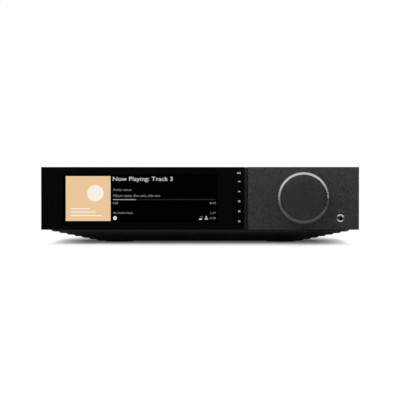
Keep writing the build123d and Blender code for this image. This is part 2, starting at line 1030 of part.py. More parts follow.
def encoder_body():
    """The double encoder: a square body with a threaded bush through the frame."""
    body = block(
        around(knob_x, encoder_size),
        (wall_back, control_board_front),
        around(knob_z, encoder_size),
    )
    body += rod_y(bush_radius, knob_x, (front_y - bush_proud, wall_back), knob_z)
    sleeve_stop = front_y + sleeve_end() + dial_gap
    sleeve_bore = (front_y - bush_proud - past, sleeve_stop)
    body -= rod_y(sleeve_radius + shaft_fit, knob_x, sleeve_bore, knob_z)
    shaft_stop = front_y + sleeve_end() + shaft_past_sleeve + dial_gap
    body -= rod_y(dial_shaft_radius + shaft_fit, knob_x, (front_y, shaft_stop), knob_z)
    return body


def encoder_nut():
    """The nut that clamps the encoder to the fascia, hidden behind the ring."""
    nut = hex_y(nut_across_flats, knob_x, (front_y - nut_thick, front_y), knob_z)
    return nut - rod_y(bush_radius, knob_x, (front_y - nut_thick - past, front_y + past), knob_z)


def headphone_jack():
    """The headphone socket's body, with a nose that reaches the front."""
    body = block(
        around(jack_x, jack_body),
        (wall_back, control_board_front),
        around(jack_z, jack_body),
    )
    tip = front_y - jack_nose_proud
    body += rod_y(jack_nose_radius, jack_x, (tip, wall_back), jack_z)
    return body - rod_y(jack_bore_radius, jack_x, (tip - past, tip + jack_bore_depth), jack_z)


def headphone_collar():
    """The bright domed ring round the headphone socket."""
    inner = jack_nose_radius + collar_fit
    stub = Plane.XZ * Pos((inner + collar_stub_radius) / 2, -skin_thick / 2) * Rectangle(
        collar_stub_radius - inner, skin_thick
    )
    start = (inner, 0)
    end = (collar_radius, 0)
    crown = ((inner + collar_radius) / 2, collar_proud)
    dome = make_face(ThreePointArc(start, crown, end) + Line(end, start))
    profile = stub + Plane.XZ * dome
    return on_front(revolve(profile, Axis.Z), jack_x, jack_z)


def board_with_holes(left, width, depth, rear):
    """A board on standoffs, with a hole near each corner."""
    board = block((left, left + width), (rear - depth, rear), (board_bottom, board_top))
    for x, y in board_holes(left, width, depth, rear):
        board -= rod_z(screw_radius + screw_hole_gap, x, y, (board_bottom - past, board_top + past))
    return board


def board_holes(left, width, depth, rear):
    """The four hole places of a board."""
    return [
        (x, y)
        for x in (left + board_corner, left + width - board_corner)
        for y in (rear - depth + board_corner, rear - board_corner)
    ]


def board_layouts():
    """Left side, width, depth and rear edge of each board on the tray."""
    return (
        (main_left, main_width, main_board_depth, panel_inner),
        (supply_left, supply_board_width, supply_board_depth, board_rear),
        (amplifier_left, amplifier_board_width, amplifier_board_depth, board_rear),
    )


def standoffs():
    """Hexagonal standoffs between the tray floor and the boards."""
    outline = RegularPolygon(standoff_across / 2, 6, major_radius=False)
    pillar = extrude(outline, standoff_height)
    pillar -= rod_z(screw_radius, 0, 0, (standoff_height - screw_reach, standoff_height + past))
    pillars = []
    for layout in board_layouts():
        for x, y in board_holes(*layout):
            pillars.append(Location((x, y, floor_top)) * pillar)
    return group(pillars)


def inner_screws():
    """All the screws inside: board screws, frame screws and front board screws."""
    screws = []
    for layout in board_layouts():
        for x, y in board_holes(*layout):
            head = rod_z(screw_head_radius, x, y, (board_top, board_top + screw_head_thick))
            reach = board_bottom - screw_reach + screw_end_gap
            screws.append(head + rod_z(screw_radius, x, y, (reach, board_top)))
    inside = frame_back + sheet
    shank = (frame_back - screw_reach, inside)
    for x in front_screw_places():
        head = rod_y(screw_head_radius, x, (inside, inside + screw_head_thick), front_screw_z)
        screws.append(head + rod_y(screw_radius, x, shank, front_screw_z))
    for (x, z), end, _radius in small_bosses():
        back = end + board_thick
        head = rod_y(small_head_radius, x, (back, back + small_head_thick), z)
        screws.append(head + rod_y(small_screw_radius, x, (end - small_screw_reach, back), z))
    return group(screws)


def heatsink():
    """The finned heatsink between the boards and the front."""
    left = amplifier_left
    rear = board_rear - amplifier_board_depth - heatsink_gap
    deep = (rear - heatsink_depth, rear)
    sink = block((left, left + heatsink_width), deep, (floor_top, floor_top + heatsink_base))
    step = (heatsink_width - fin_thick) / (fin_count - 1)
    for index in range(fin_count):
        low = left + index * step
        sink += block((low, low + fin_thick), deep, (floor_top, floor_top + heatsink_height))
    wall = (rear - fin_thick, rear)
    sink += block((left, left + heatsink_width), wall, (floor_top, floor_top + heatsink_height))
    return sink


def power_places():
    """Where the output stages stand, evenly spaced across the amplifier board."""
    step = amplifier_board_width / power_pairs
    return [amplifier_left + (index + 0.5) * step for index in range(power_pairs)]


def output_devices():
    """Four power transistors clamped to the back of the heatsink."""
    face = board_rear - amplifier_board_depth - heatsink_gap
    devices = []
    for x in power_places():
        low = floor_top + heatsink_base
        top = low + device_height
        wide = around(x, device_width)
        body = block(wide, (face, face + device_thick), (low, top))
        body += block(wide, (face, face + device_tab_thick), (top, top + device_tab_height))
        devices.append(body)
    return group(devices)


def output_inductors():
    """Output chokes on the amplifier board, each with a wound waist."""
    chokes = []
    y = board_rear - amplifier_board_depth / 2
    for x in power_places():
        choke = rod_z(inductor_radius, x, y, (board_top, board_top + inductor_height))
        waist = (board_top + inductor_flange, board_top + inductor_height - inductor_flange)
        cut = rod_z(inductor_radius + past, x, y, waist)
        cut -= rod_z(inductor_radius - inductor_waist, x, y, waist)
        chokes.append(choke - cut)
    return group(chokes)


def supply_places():
    """The transformer's place, midway across the supply board."""
    return supply_left + supply_board_width / 2, board_rear - core_from_rear


def transformer_core():
    """The ferrite core: two side limbs and a centre one between two yokes."""
    x, y = supply_places()
    high = (board_top, board_top + core_height)
    core = block(around(x, core_width), around(y, core_depth), high)
    for side in (-1, 1):
        window = around(x + side * core_width / 4, (core_width - 2 * core_limb) / 2)
        core -= block(window, around(y, core_depth + 2 * past), window_height())
    return core


def window_height():
    """The height limits of the two windows in the core."""
    return (board_top + core_limb / 2, board_top + core_height - core_limb / 2)


def transformer_winding():
    """The winding round the core's centre limb."""
    x, y = supply_places()
    outer = around(x, core_width - core_limb - 2 * winding_gap)
    coil = block(outer, around(y, core_depth + 2 * winding_overhang), window_height())
    coil = fillet(coil.edges().filter_by(Axis.Z), winding_overhang / 2)
    return coil - block(around(x, core_limb), around(y, core_depth), window_height())


def supply_capacitors():
    """The reservoir capacitors in a row on the supply board."""
    x, y = supply_places()
    cans = []
    row = y - core_depth / 2 - winding_overhang - capacitor_radius - 2 * capacitor_gap
    for index in range(capacitor_count):
        step = index - (capacitor_count - 1) / 2
        place = x + step * (2 * capacitor_radius + capacitor_gap)
        can = rod_z(capacitor_radius, place, row, (board_top, board_top + capacitor_height))
        cans.append(chamfer(face_edges(can, Axis.Z), capacitor_edge))
    return group(cans)


def streaming_module():
    """The screened network module, raised on its own small board."""
    x = main_left + main_width / 2
    y = panel_inner - main_board_depth + module_from_front + module_depth / 2
    step = board_top + module_step
    module = block(around(x, module_width), around(y, module_depth), (board_top, step))
    can_width = module_width - 2 * module_border
    can_depth = module_depth - 2 * module_border
    return module + block(around(x, can_width), around(y, can_depth), (step, step + module_thick))


def binding_posts():
    """The threaded speaker posts, bored for a banana plug."""
    posts = []
    tip = rear_y + terminal_proud
    for x in post_places:
        post = rod_y(post_radius, x, (panel_inner - post_inside, tip), post_z)
        posts.append(post - rod_y(post_bore_radius, x, (tip - post_bore_depth, tip + past), post_z))
    return group(posts)


def post_insulators():
    """Insulating washers with a spigot that centres each post in the panel."""
    rings = []
    outer = (rear_y, rear_y + insulator_thick)
    through = (panel_inner, rear_y)
    bore = (panel_inner - past, rear_y + insulator_thick + past)
    for x in post_places:
        ring = rod_y(insulator_radius, x, outer, post_z)
        ring += rod_y(insulator_spigot, x, through, post_z)
        rings.append(ring - rod_y(post_radius, x, bore, post_z))
    return group(rings)


def post_nuts():
    """Hexagonal nuts behind the panel on each post."""
    nuts = []
    for x in post_places:
        span = (panel_inner - post_nut_thick, panel_inner)
        nut = hex_y(post_nut_across, x, span, post_z)
        nuts.append(nut - rod_y(post_radius, x, (span[0] - past, span[1] + past), post_z))
    return group(nuts)


def speaker_cap(x):
    """A fluted clamping cap on a speaker post."""
    start = insulator_thick + cap_seat_gap
    length = terminal_proud - cap_setback - start
    cap = extrude(fluted_outline(cap_radius, cap_flute_depth, cap_flutes), length)
    cap = Location((0, 0, start)) * cap
    cap -= rod_z(post_radius + cap_fit, 0, 0, (0, terminal_proud + past))
    return on_rear(cap, x, post_z)


def mains_inlet():
    """The mains inlet: a shrouded three-pin socket with two cut corners."""
    flange = block(
        around(inlet_place, inlet_flange_width),
        (rear_y, rear_y + inlet_flange),
        around(power_z, inlet_flange_height),
    )
    back = rear_y + inlet_flange - inlet_depth
    inlet = flange + block(
        around(inlet_place, inlet_body_width),
        (back, rear_y),
        around(power_z, inlet_body_height),
    )
    mouth = rear_y + inlet_flange
    cavity = block(
        around(inlet_place, inlet_cavity_width),
        (mouth - inlet_cavity_depth, mouth + past),
        around(power_z, inlet_cavity_height),
    )
    upper = cavity.edges().filter_by(Axis.Y).group_by(Axis.Z)[-1]
    inlet -= chamfer(upper, inlet_corner)
    for pin in pin_blades():
        inlet -= pin
    return inlet


def pin_blades():
    """The three blades of the mains inlet, with the earth blade raised."""
    mouth = rear_y + inlet_flange
    span = (mouth - inlet_depth - pin_tail, mouth - pin_recess)
    low = power_z - pin_drop
    places = [(-pin_spacing, 0.0), (pin_spacing, 0.0), (0.0, earth_raise)]
    return [
        block(around(inlet_place + x, pin_width), span, around(low + z, pin_height))
        for x, z in places
    ]


def switch_housing():
    """The mains switch's snap-in housing."""
    housing = block(
        around(switch_place, switch_flange_width),
        (rear_y, rear_y + switch_flange),
        around(power_z, switch_flange_height),
    )
    housing += block(
        around(switch_place, switch_body_width),
        (rear_y + switch_flange - switch_depth, rear_y),
        around(power_z, switch_body_height),
    )
    swing = rocker_rise * math.sin(math.radians(rocker_tilt))
    housing -= block(
        around(switch_place, rocker_width + 2 * rocker_gap),
        (rear_y + switch_flange - switch_depth + switch_back, rear_y + switch_flange + past),
        around(power_z, rocker_length + 2 * swing + 2 * rocker_gap),
    )
    reach = rocker_width / 2 + rocker_gap + rocker_pin_length
    span = (switch_place - reach, switch_place + reach)
    return housing - rod_x(rocker_pin_radius + shaft_fit, span, rear_y, power_z)


def power_rocker():
    """The switch's rocker, resting tilted on its two pins."""
    half = rocker_length / 2
    narrow = half - rocker_rise / 2
    outline = Polyline(
        (-narrow, -rocker_sink),
        (-half, rocker_rise),
        (0, rocker_dip),
        (half, rocker_rise),
        (narrow, -rocker_sink),
        close=True,
    )
    body = extrude(make_face(outline), rocker_width / 2, both=True)
    reach = rocker_width / 2 + rocker_gap + rocker_pin_length - shaft_fit
    body += rod_z(rocker_pin_radius, 0, 0, (-reach, reach))
    upright = Location((0, 0, 0), (0, -90, 0)) * body
    return Location((switch_place, rear_y, power_z), (rocker_tilt, 0, 0)) * upright


def rca_blocks():
    """The two moulded blocks that carry a pair of phono sockets each."""
    blocks = []
    rim = rear_y + rca_shoulder_proud
    top = rca_heights()[1] + rca_rise
    for x in rca_places:
        body = block(
            around(x, rca_block_width),
            (panel_inner - rca_block_depth, panel_inner),
            (board_top, top),
        )
        for z in rca_heights():
            body += rod_y(rca_shoulder_radius, x, (panel_inner, rim), z)
            body -= rod_y(rca_root_radius, x, (panel_inner, rim + past), z)
        blocks.append(body)
    return group(blocks)


def rca_barrels():
    """The outer contact of each phono socket, on a thinner root inside the shoulder."""
    barrels = []
    rim = rear_y + rca_shoulder_proud
    tip = rear_y + rca_barrel_proud
    bore = (panel_inner - past, tip + past)
    for x in rca_places:
        for z in rca_heights():
            tube = rod_y(rca_root_radius, x, (panel_inner, rim), z)
            tube += rod_y(rca_barrel_radius, x, (rim, tip), z)
            barrels.append(tube - rod_y(rca_barrel_radius - rca_barrel_wall, x, bore, z))
    return group(barrels)


def rca_centres():
    """The insulator inside each phono socket, bored for the plug's pin."""
    centres = []
    tip = rear_y + rca_barrel_proud - rca_centre_setback
    bore = (panel_inner + rca_centre_floor, tip + past)
    for x in rca_places:
        for z in rca_heights():
            core = rod_y(rca_barrel_radius - rca_barrel_wall, x, (panel_inner, tip), z)
            centres.append(core - rod_y(rca_centre_radius, x, bore, z))
    return group(centres)


def optical_socket():
    """The square optical socket with its round nose at the bottom of the recess."""
    mouth = rear_y + shell_proud
    body = block(
        around(optical_place, optical_size),
        (mouth - optical_depth, mouth),
        (board_top, board_top + optical_size),
    )
    centre = board_top + optical_size / 2
    body -= block(
        around(optical_place, optical_recess),
        (mouth - optical_recess_depth, mouth + past),
        around(centre, optical_recess),
    )
    nose = (mouth - optical_recess_depth, mouth - optical_recess_depth + optical_nose)
    return body + rod_y(optical_nose_radius, optical_place, nose, centre)


def shell_socket(x, width, height):
    """A bent metal shell, closed at the back."""
    mouth = rear_y + shell_proud
    outer = block(
        around(x, width + 2 * shell_thick),
        (mouth - shell_depth, mouth),
        (board_top, board_top + height + 2 * shell_thick),
    )
    return outer - block(
        around(x, width),
        (mouth - shell_depth + shell_thick, mouth + past),
        (board_top + shell_thick, board_top + shell_thick + height),
    )


def data_sockets():
    """The shells of the video and the data socket."""
    return group(
        [
            shell_socket(video_place, video_width, video_height),
            shell_socket(data_place, data_width, data_height),
        ]
    )


def socket_tongues():
    """The contact tongues inside the two shells."""
    tongues = []
    back = rear_y + shell_proud - shell_depth + shell_thick
    front = rear_y + shell_proud - tongue_recess
    for x, width, height in (
        (video_place, video_width, video_height),
        (data_place, data_width, data_height),
    ):
        middle = board_top + shell_thick + height / 2
        wide = around(x, width - 2 * tongue_side_gap)
        tongues.append(block(wide, (back, front), around(middle, tongue_thick)))
    return group(tongues)


def ethernet_socket():
    """The network socket with its latch notch."""
    mouth = rear_y + shell_proud
    body = block(
        around(network_place, network_width),
        (mouth - network_depth, mouth),
        (board_top, board_top + network_height),
    )
    deep = (mouth - network_opening_depth, mouth + past)
    low = board_top + network_sill
    high = low + network_opening_height
    body -= block(around(network_place, network_opening_width), deep, (low, high))
    notch = (high, high + network_latch_height)
    return body - block(around(network_place, network_latch_width), deep, notch)


def aerial_sockets():
    """The two threaded aerial sockets, each with its nut."""
    sockets = []
    tip = rear_y + aerial_proud
    for x in aerial_places:
        socket = rod_y(aerial_radius, x, (panel_inner - aerial_inside, tip), aerial_z)
        socket += hex_y(aerial_nut_across, x, (rear_y, rear_y + aerial_nut_thick), aerial_z)
        inner_nut = (panel_inner - aerial_nut_thick, panel_inner)
        socket += hex_y(aerial_nut_across, x, inner_nut, aerial_z)
        bore = (tip - aerial_bore_depth, tip + past)
        sockets.append(socket - rod_y(aerial_bore_radius, x, bore, aerial_z))
    return group(sockets)


key_names = (
    "play_pause_key",
    "skip_forward_key",
    "skip_back_key",
    "info_key",
    "speaker_key",
    "power_key",
)


def all_parts():
    """Every node of the amplifier by name."""
    parts = {
        "stepped_base": stepped_base(),
        "feet": feet(),
        "foot_screws": foot_screws(),
        "chassis_tray": chassis_tray(),
        "top_cover": top_cover(),
        "rear_panel": rear_panel(),
        "case_screws": case_screws(),
        "front_frame": front_frame(),
        "display_lens": display_lens(),
        "fascia_plate": fascia_plate(),
        "lcd_panel": lcd_panel(),
        "display_board": display_board(),
        "key_board": key_board(),
        "key_switches": key_switches(),
        "control_board": control_board(),
        "volume_ring": volume_ring(),
        "volume_sleeve": volume_sleeve(),
        "source_dial": source_dial(),
        "dial_shaft": dial_shaft(),
        "encoder_body": encoder_body(),
        "encoder_nut": encoder_nut(),
        "headphone_jack": headphone_jack(),
        "headphone_collar": headphone_collar(),
        "standoffs": standoffs(),
        "inner_screws": inner_screws(),
        "heatsink": heatsink(),
        "output_devices": output_devices(),
        "output_inductors": output_inductors(),
        "transformer_core": transformer_core(),
        "transformer_winding": transformer_winding(),
        "supply_capacitors": supply_capacitors(),
        "streaming_module": streaming_module(),
        "binding_posts": binding_posts(),
        "post_insulators": post_insulators(),
        "post_nuts": post_nuts(),
        "mains_inlet": mains_inlet(),
        "inlet_pins": group(pin_blades()),
        "switch_housing": switch_housing(),
        "power_rocker": power_rocker(),
        "rca_blocks": rca_blocks(),
        "rca_barrels": rca_barrels(),
        "rca_centres": rca_centres(),
        "optical_socket": optical_socket(),
        "data_sockets": data_sockets(),
        "socket_tongues": socket_tongues(),
        "ethernet_socket": ethernet_socket(),
        "aerial_sockets": aerial_sockets(),
    }
    board_names = ("main_board", "supply_board", "amplifier_board")
    for name, layout in zip(board_names, board_layouts()):
        parts[name] = board_with_holes(*layout)
    for index, name in enumerate(key_names):
        parts[name] = key(index)
    for number, x in enumerate(post_places, start=1):
        parts[f"speaker_cap_{number}"] = speaker_cap(x)
    return parts


os.makedirs("parts", exist_ok=True)
for node_name, node in all_parts().items():
    node.label = node_name
    export_step(node, f"parts/{node_name}.step")
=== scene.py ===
# %% [markdown]
# A streaming amplifier, dressed for its picture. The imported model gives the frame: every solid is
# already in its place, in metres, and each one rides on the body that carries it. This lesson keeps
# the solids whose shape is right, gives each a finish, and models with bmesh what a picture shows
# finer than the solids do: the lit screen, the printed signs and the turned knob.

# %% Load the frame
import math

import bmesh
import bpy
from mathutils import Matrix, Vector


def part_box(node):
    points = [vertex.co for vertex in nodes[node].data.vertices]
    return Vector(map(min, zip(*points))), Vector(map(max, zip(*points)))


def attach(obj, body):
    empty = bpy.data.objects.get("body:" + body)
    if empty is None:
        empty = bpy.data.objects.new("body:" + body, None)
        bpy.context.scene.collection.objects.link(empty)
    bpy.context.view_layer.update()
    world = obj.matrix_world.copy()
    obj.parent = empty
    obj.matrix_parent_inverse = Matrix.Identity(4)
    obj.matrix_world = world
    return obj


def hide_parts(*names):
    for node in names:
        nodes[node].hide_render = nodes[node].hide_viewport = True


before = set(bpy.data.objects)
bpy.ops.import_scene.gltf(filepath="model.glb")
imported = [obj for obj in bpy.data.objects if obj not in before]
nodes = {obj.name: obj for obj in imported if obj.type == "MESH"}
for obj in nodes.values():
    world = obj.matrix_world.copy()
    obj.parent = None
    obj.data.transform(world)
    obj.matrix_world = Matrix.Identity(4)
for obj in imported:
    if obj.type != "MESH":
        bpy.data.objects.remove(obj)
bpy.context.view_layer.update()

# %% [markdown]
# The front is one plane, and the box of the lens gives it. All that is printed on the front is
# measured in millimetres from the lower left corner of the lens, and all that is printed on the
# back from the middle of the base line.

# %% Places taken from the frame
mm = 0.001


def box_mm(node):
    """The two corners of a node, in millimetres."""
    low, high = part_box(node)
    return Vector(low) / mm, Vector(high) / mm


lens_low, lens_high = box_mm("display_lens")
face_y = lens_low.y
front_plane = face_y * mm
rear_y = box_mm("rear_panel")[1].y
plate_low = lens_low.z
plate_high = lens_high.z
front_corner = Vector((lens_low.x, face_y, plate_low))
rear_corner = Vector((0, rear_y, 0))
print("front plane at", round(face_y, 2), "mm, plate", round(plate_low, 2), "to", round(plate_high, 2))

# %% [markdown]
# Flat work is drawn lying down, with x to the right and y up, as a drawing on a table. A quarter
# turn about X stands it on the front, facing the viewer. A half turn about Z more stands it on the
# back. One small function turns any finished bmesh into a piece: it closes the seams, points the
# faces outwards, keeps the sharp edges sharp and says which body the piece rides on.

# %% Helpers for new pieces
chassis = "chassis"
merge_mm = 0.0005
merge_gap = merge_mm * mm
sharp_angle = math.radians(32)
capital_height = 0.73
letter_steps = 3
sheet_thick = 0.03
stand_front = Matrix.Rotation(math.radians(90), 4, "X")
stand_rear = Matrix.Rotation(math.radians(180), 4, "Z") @ stand_front


def make_piece(shape, name, material, body, stands_for=()):
    """Makes a finished object from a bmesh whose place is already right, in metres."""
    bmesh.ops.remove_doubles(shape, verts=shape.verts, dist=merge_gap)
    bmesh.ops.recalc_face_normals(shape, faces=shape.faces)
    mesh = bpy.data.meshes.new(name)
    shape.to_mesh(mesh)
    shape.free()
    mesh.shade_smooth()
    mesh.set_sharp_from_angle(angle=sharp_angle)
    mesh.materials.append(material)
    piece = bpy.data.objects.new(name, mesh)
    bpy.context.scene.collection.objects.link(piece)
    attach(piece, body)
    if stands_for:
        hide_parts(*stands_for)
    print("made", name, "with", len(mesh.polygons), "faces")


def middles(node):
    """The middle of each separate solid of a node in millimetres, from left to right, then upwards."""
    shape = bmesh.new()
    shape.from_mesh(nodes[node].data)
    bmesh.ops.remove_doubles(shape, verts=shape.verts, dist=merge_gap)
    waiting = set(shape.verts)
    places = []
    while waiting:
        solid = [waiting.pop()]
        for vertex in solid:
            linked = [edge.other_vert(vertex) for edge in vertex.link_edges]
            solid.extend(other for other in linked if other in waiting)
            waiting.difference_update(linked)
        corners = [
            Vector([pick(vertex.co[axis] for vertex in solid) for axis in range(3)])
            for pick in (min, max)
        ]
        places.append((corners[0] + corners[1]) / 2 / mm)
    shape.free()
    return sorted(places, key=lambda place: (round(place.x, 1), place.z))


def bar(sheet, left, right, low, high):
    """A rectangle on a flat sheet."""
    place = Matrix.Translation(((left + right) / 2, (low + high) / 2, 0))
    size = Matrix.Diagonal((right - left, high - low, 1, 1))
    bmesh.ops.create_grid(sheet, x_segments=1, y_segments=1, size=0.5, matrix=place @ size)


def disc(sheet, x, y, radius, segments=48):
    """A filled circle on a flat sheet."""
    place = Matrix.Translation((x, y, 0))
    bmesh.ops.create_circle(sheet, cap_ends=True, radius=radius, segments=segments, matrix=place)


def arc_band(sheet, x, y, radius, width, start=0.0, sweep=360.0, steps=48):
    """A band of a circle, swept from a start angle; the angles are in degrees."""
    inner = sheet.verts.new((radius - width / 2, 0, 0))
    outer = sheet.verts.new((radius + width / 2, 0, 0))
    edge = sheet.edges.new((inner, outer))
    turn = Matrix.Rotation(math.radians(start), 4, "Z")
    bmesh.ops.transform(sheet, matrix=Matrix.Translation((x, y, 0)) @ turn, verts=[inner, outer])
    bmesh.ops.spin(
        sheet,
        geom=[inner, outer, edge],
        cent=(x, y, 0),
        axis=(0, 0, 1),
        angle=math.radians(sweep),
        steps=steps,
        use_merge=sweep == 360.0,
    )


def patch(sheet, corners):
    """One flat face through corners, on a flat sheet."""
    sheet.faces.new([sheet.verts.new((x, y, 0)) for x, y in corners])


def pointer(sheet, left, right, low, high, backwards=False):
    """A triangle that fills a rectangle and points right, or left if backwards."""
    middle = (low + high) / 2
    if backwards:
        patch(sheet, [(right, low), (right, high), (left, middle)])
    else:
        patch(sheet, [(left, low), (right, middle), (left, high)])


def words(sheet, text, left, low, height, width=None, centred=False):
    """A line of text on a flat sheet, from its left end, or round its middle if centred."""
    curve = bpy.data.curves.new("words", "FONT")
    curve.body = text
    curve.resolution_u = letter_steps
    holder = bpy.data.objects.new("words", curve)
    mesh = bpy.data.meshes.new_from_object(holder)
    across = [vertex.co.x for vertex in mesh.vertices]
    tall = height / capital_height
    wide = tall if width is None else width / (max(across) - min(across))
    start = (min(across) + max(across)) / 2 if centred else min(across)
    place = Matrix.Translation((left - start * wide, low, 0))
    mesh.transform(place @ Matrix.Diagonal((wide, tall, 1, 1)))
    sheet.from_mesh(mesh)
    bpy.data.objects.remove(holder)
    bpy.data.curves.remove(curve)
    bpy.data.meshes.remove(mesh)


def print_sheet(sheet, name, material, thick=sheet_thick, above=0.0, rear=False, body=chassis):
    """Gives flat work its thickness and stands it on the front, or on the back."""
    corner = rear_corner if rear else front_corner
    stand = stand_rear if rear else stand_front
    bmesh.ops.remove_doubles(sheet, verts=sheet.verts, dist=merge_mm)
    for face in sheet.faces:
        if face.normal.z < 0:
            face.normal_flip()
    bmesh.ops.solidify(sheet, geom=sheet.faces[:], thickness=thick)
    highest = max(vertex.co.z for vertex in sheet.verts)
    lift = Matrix.Translation((0, 0, above + thick - highest))
    place = Matrix.Scale(mm, 4) @ Matrix.Translation(corner) @ stand @ lift
    bmesh.ops.transform(sheet, matrix=place, verts=sheet.verts)
    make_piece(sheet, name, material, body)


# %% [markdown]
# Most of the surfaces are one idea: a colour that varies a little, a gloss that varies with it, and
# a fine relief, all from one noise at the scale of the real finish. Bead-blasted metal, powder coat
# and moulded plastic differ only in the scale, the depth and the gloss. Noise crowds round its middle
# value, so its range is stretched before it sets the colour and the gloss. It reads the object's own
# coordinates, so it stays on the piece from every side. A noise drawn out along one axis gives
# brushed metal. In the list, the numbers after a colour are the roughness, the grain and the relief.

# %% One recipe for fine finishes
noise_low = 0.3
noise_high = 0.7
least_roughness = 0.02


def fine_finish(name, colour, roughness, grain, relief, metallic=0.0, spread=0.12, gloss_spread=0.05,
                stretch=(1, 1, 1), specular=0.5, detail=3.0):
    """A surface of one colour with a noise of a given grain and relief, both in millimetres."""
    material = bpy.data.materials.new(name)
    material.use_nodes = True
    tree = material.node_tree
    shader = tree.nodes["Principled BSDF"]
    shader.inputs["Metallic"].default_value = metallic
    shader.inputs["Specular IOR Level"].default_value = specular
    place = tree.nodes.new("ShaderNodeTexCoord")
    mapping = tree.nodes.new("ShaderNodeMapping")
    mapping.inputs["Scale"].default_value = stretch
    noise = tree.nodes.new("ShaderNodeTexNoise")
    noise.inputs["Scale"].default_value = 1 / (grain * mm)
    noise.inputs["Detail"].default_value = detail
    tree.links.new(place.outputs["Object"], mapping.inputs["Vector"])
    tree.links.new(mapping.outputs["Vector"], noise.inputs["Vector"])
    stretched = tree.nodes.new("ShaderNodeMapRange")
    stretched.inputs["From Min"].default_value = noise_low
    stretched.inputs["From Max"].default_value = noise_high
    tree.links.new(noise.outputs["Fac"], stretched.inputs["Value"])
    shade = tree.nodes.new("ShaderNodeMix")
    shade.data_type = "RGBA"
    shade.inputs["A"].default_value = (*[value * (1 - spread) for value in colour], 1)
    shade.inputs["B"].default_value = (*[value * (1 + spread) for value in colour], 1)
    tree.links.new(stretched.outputs["Result"], shade.inputs["Factor"])
    tree.links.new(shade.outputs["Result"], shader.inputs["Base Color"])
    gloss = tree.nodes.new("ShaderNodeMapRange")
    gloss.inputs["To Min"].default_value = max(roughness - gloss_spread, least_roughness)
    gloss.inputs["To Max"].default_value = roughness + gloss_spread
    tree.links.new(stretched.outputs["Result"], gloss.inputs["Value"])
    tree.links.new(gloss.outputs["Result"], shader.inputs["Roughness"])
    bump = tree.nodes.new("ShaderNodeBump")
    bump.inputs["Distance"].default_value = relief * mm
    tree.links.new(noise.outputs["Fac"], bump.inputs["Height"])
    tree.links.new(bump.outputs["Normal"], shader.inputs["Normal"])
    return material


finishes = {
    "fascia": fine_finish("bead_blasted_fascia", (0.0495, 0.0495, 0.0495), 0.46, 0.73, 0.045,
                          metallic=0.5, spread=0.58, gloss_spread=0.07, detail=1.0),
    "dial": fine_finish("bead_blasted_dial", (0.039, 0.039, 0.039), 0.5, 0.85, 0.01,
                        metallic=0.6, spread=0.45),
    "ring": fine_finish("machined_ring", (0.52, 0.52, 0.53), 0.21, 0.25, 0.004,
                        metallic=1.0, spread=0.06),
    "chrome": fine_finish("polished_chrome", (0.83, 0.83, 0.84), 0.06, 0.6, 0.001,
                          metallic=1.0, spread=0.03, gloss_spread=0.02),
    "cover": fine_finish("textured_powder_coat", (0.016, 0.016, 0.017), 0.55, 0.55, 0.035),
    "base": fine_finish("moulded_base", (0.007, 0.007, 0.007), 0.26, 0.45, 0.003),
    "keys": fine_finish("key_plastic", (0.008, 0.008, 0.0085), 0.5, 0.35, 0.006, specular=0.25),
    "frame": fine_finish("frame_plastic", (0.010, 0.010, 0.010), 0.6, 0.5, 0.015),
    "moulded": fine_finish("socket_plastic", (0.014, 0.014, 0.015), 0.4, 0.4, 0.008),
    "glossy": fine_finish("cap_plastic", (0.016, 0.016, 0.018), 0.16, 0.8, 0.003),
    "jack": fine_finish("socket_lining", (0.045, 0.045, 0.045), 0.45, 0.4, 0.008),
    # The sprung contact's pale grey also paints the lighter left side of the headphone hole.
    "contact": fine_finish("sprung_contact", (0.11, 0.11, 0.11), 0.5, 0.4, 0.004),
    "rubber": fine_finish("foot_rubber", (0.012, 0.012, 0.012), 0.8, 0.7, 0.03),
    "zinc": fine_finish("zinc_plated_steel", (0.62, 0.63, 0.62), 0.34, 6.0, 0.004,
                        metallic=1.0, spread=0.08),
    "nickel": fine_finish("nickel_plating", (0.72, 0.71, 0.68), 0.2, 0.8, 0.002,
                          metallic=1.0, spread=0.05),
    "gold": fine_finish("gold_plating", (0.90, 0.66, 0.27), 0.2, 0.8, 0.002,
                        metallic=1.0, spread=0.06),
    "brass": fine_finish("turned_brass", (0.72, 0.54, 0.24), 0.3, 0.2, 0.004,
                         metallic=1.0, spread=0.1),
    "steel": fine_finish("ground_shaft", (0.6, 0.6, 0.6), 0.26, 0.15, 0.003,
                         metallic=1.0, spread=0.1, stretch=(1, 8, 1)),
    "black_screw": fine_finish("black_oxide", (0.03, 0.03, 0.032), 0.35, 0.3, 0.006, metallic=0.9),
    "sink": fine_finish("extruded_sink", (0.035, 0.035, 0.037), 0.42, 0.5, 0.01,
                        metallic=0.8, stretch=(4, 4, 0.15)),
    "ferrite": fine_finish("ferrite", (0.035, 0.034, 0.033), 0.62, 0.6, 0.02),
    "tape": fine_finish("winding_tape", (0.72, 0.5, 0.06), 0.35, 1.6, 0.03, stretch=(0.2, 0.2, 3)),
    "sleeve": fine_finish("can_sleeve", (0.018, 0.022, 0.04), 0.22, 1.0, 0.004),
    "white": fine_finish("insulator_white", (0.75, 0.74, 0.71), 0.4, 0.6, 0.004, spread=0.04),
}
print("fine finishes:", len(finishes))

# %% [markdown]
# The lens is black glass. Glass is all reflection: the body is almost black and the gloss is high,
# with a trace of unevenness, so that long reflections don't look drawn with a ruler. The part of it
# over the screen is deeper black, because no light comes back from behind it.

# %% Glass
glass_black = (0.0033, 0.0033, 0.0034)
screen_black = (0.0004, 0.0004, 0.0005)
glass_roughness = 0.05
glass_grain = 40.0
glass_relief = 0.002
for part, name, black in (
    ("lens", "black_glass", glass_black),
    ("window", "screen_glass", screen_black),
):
    finishes[part] = fine_finish(name, black, glass_roughness, glass_grain, glass_relief,
                                 spread=0.04, gloss_spread=0.01)
print("finishes with glass:", len(finishes))

# %% [markdown]
# Lit things on the screen are black glass that also gives light. A screen is made of rows of tiny
# cells, so the light is a little lower in the thin lines between them. That pattern is far finer
# than the picture shows, and it only tells close up.

# %% Light from the screen
cell_size = 0.24
gap_share = 0.1


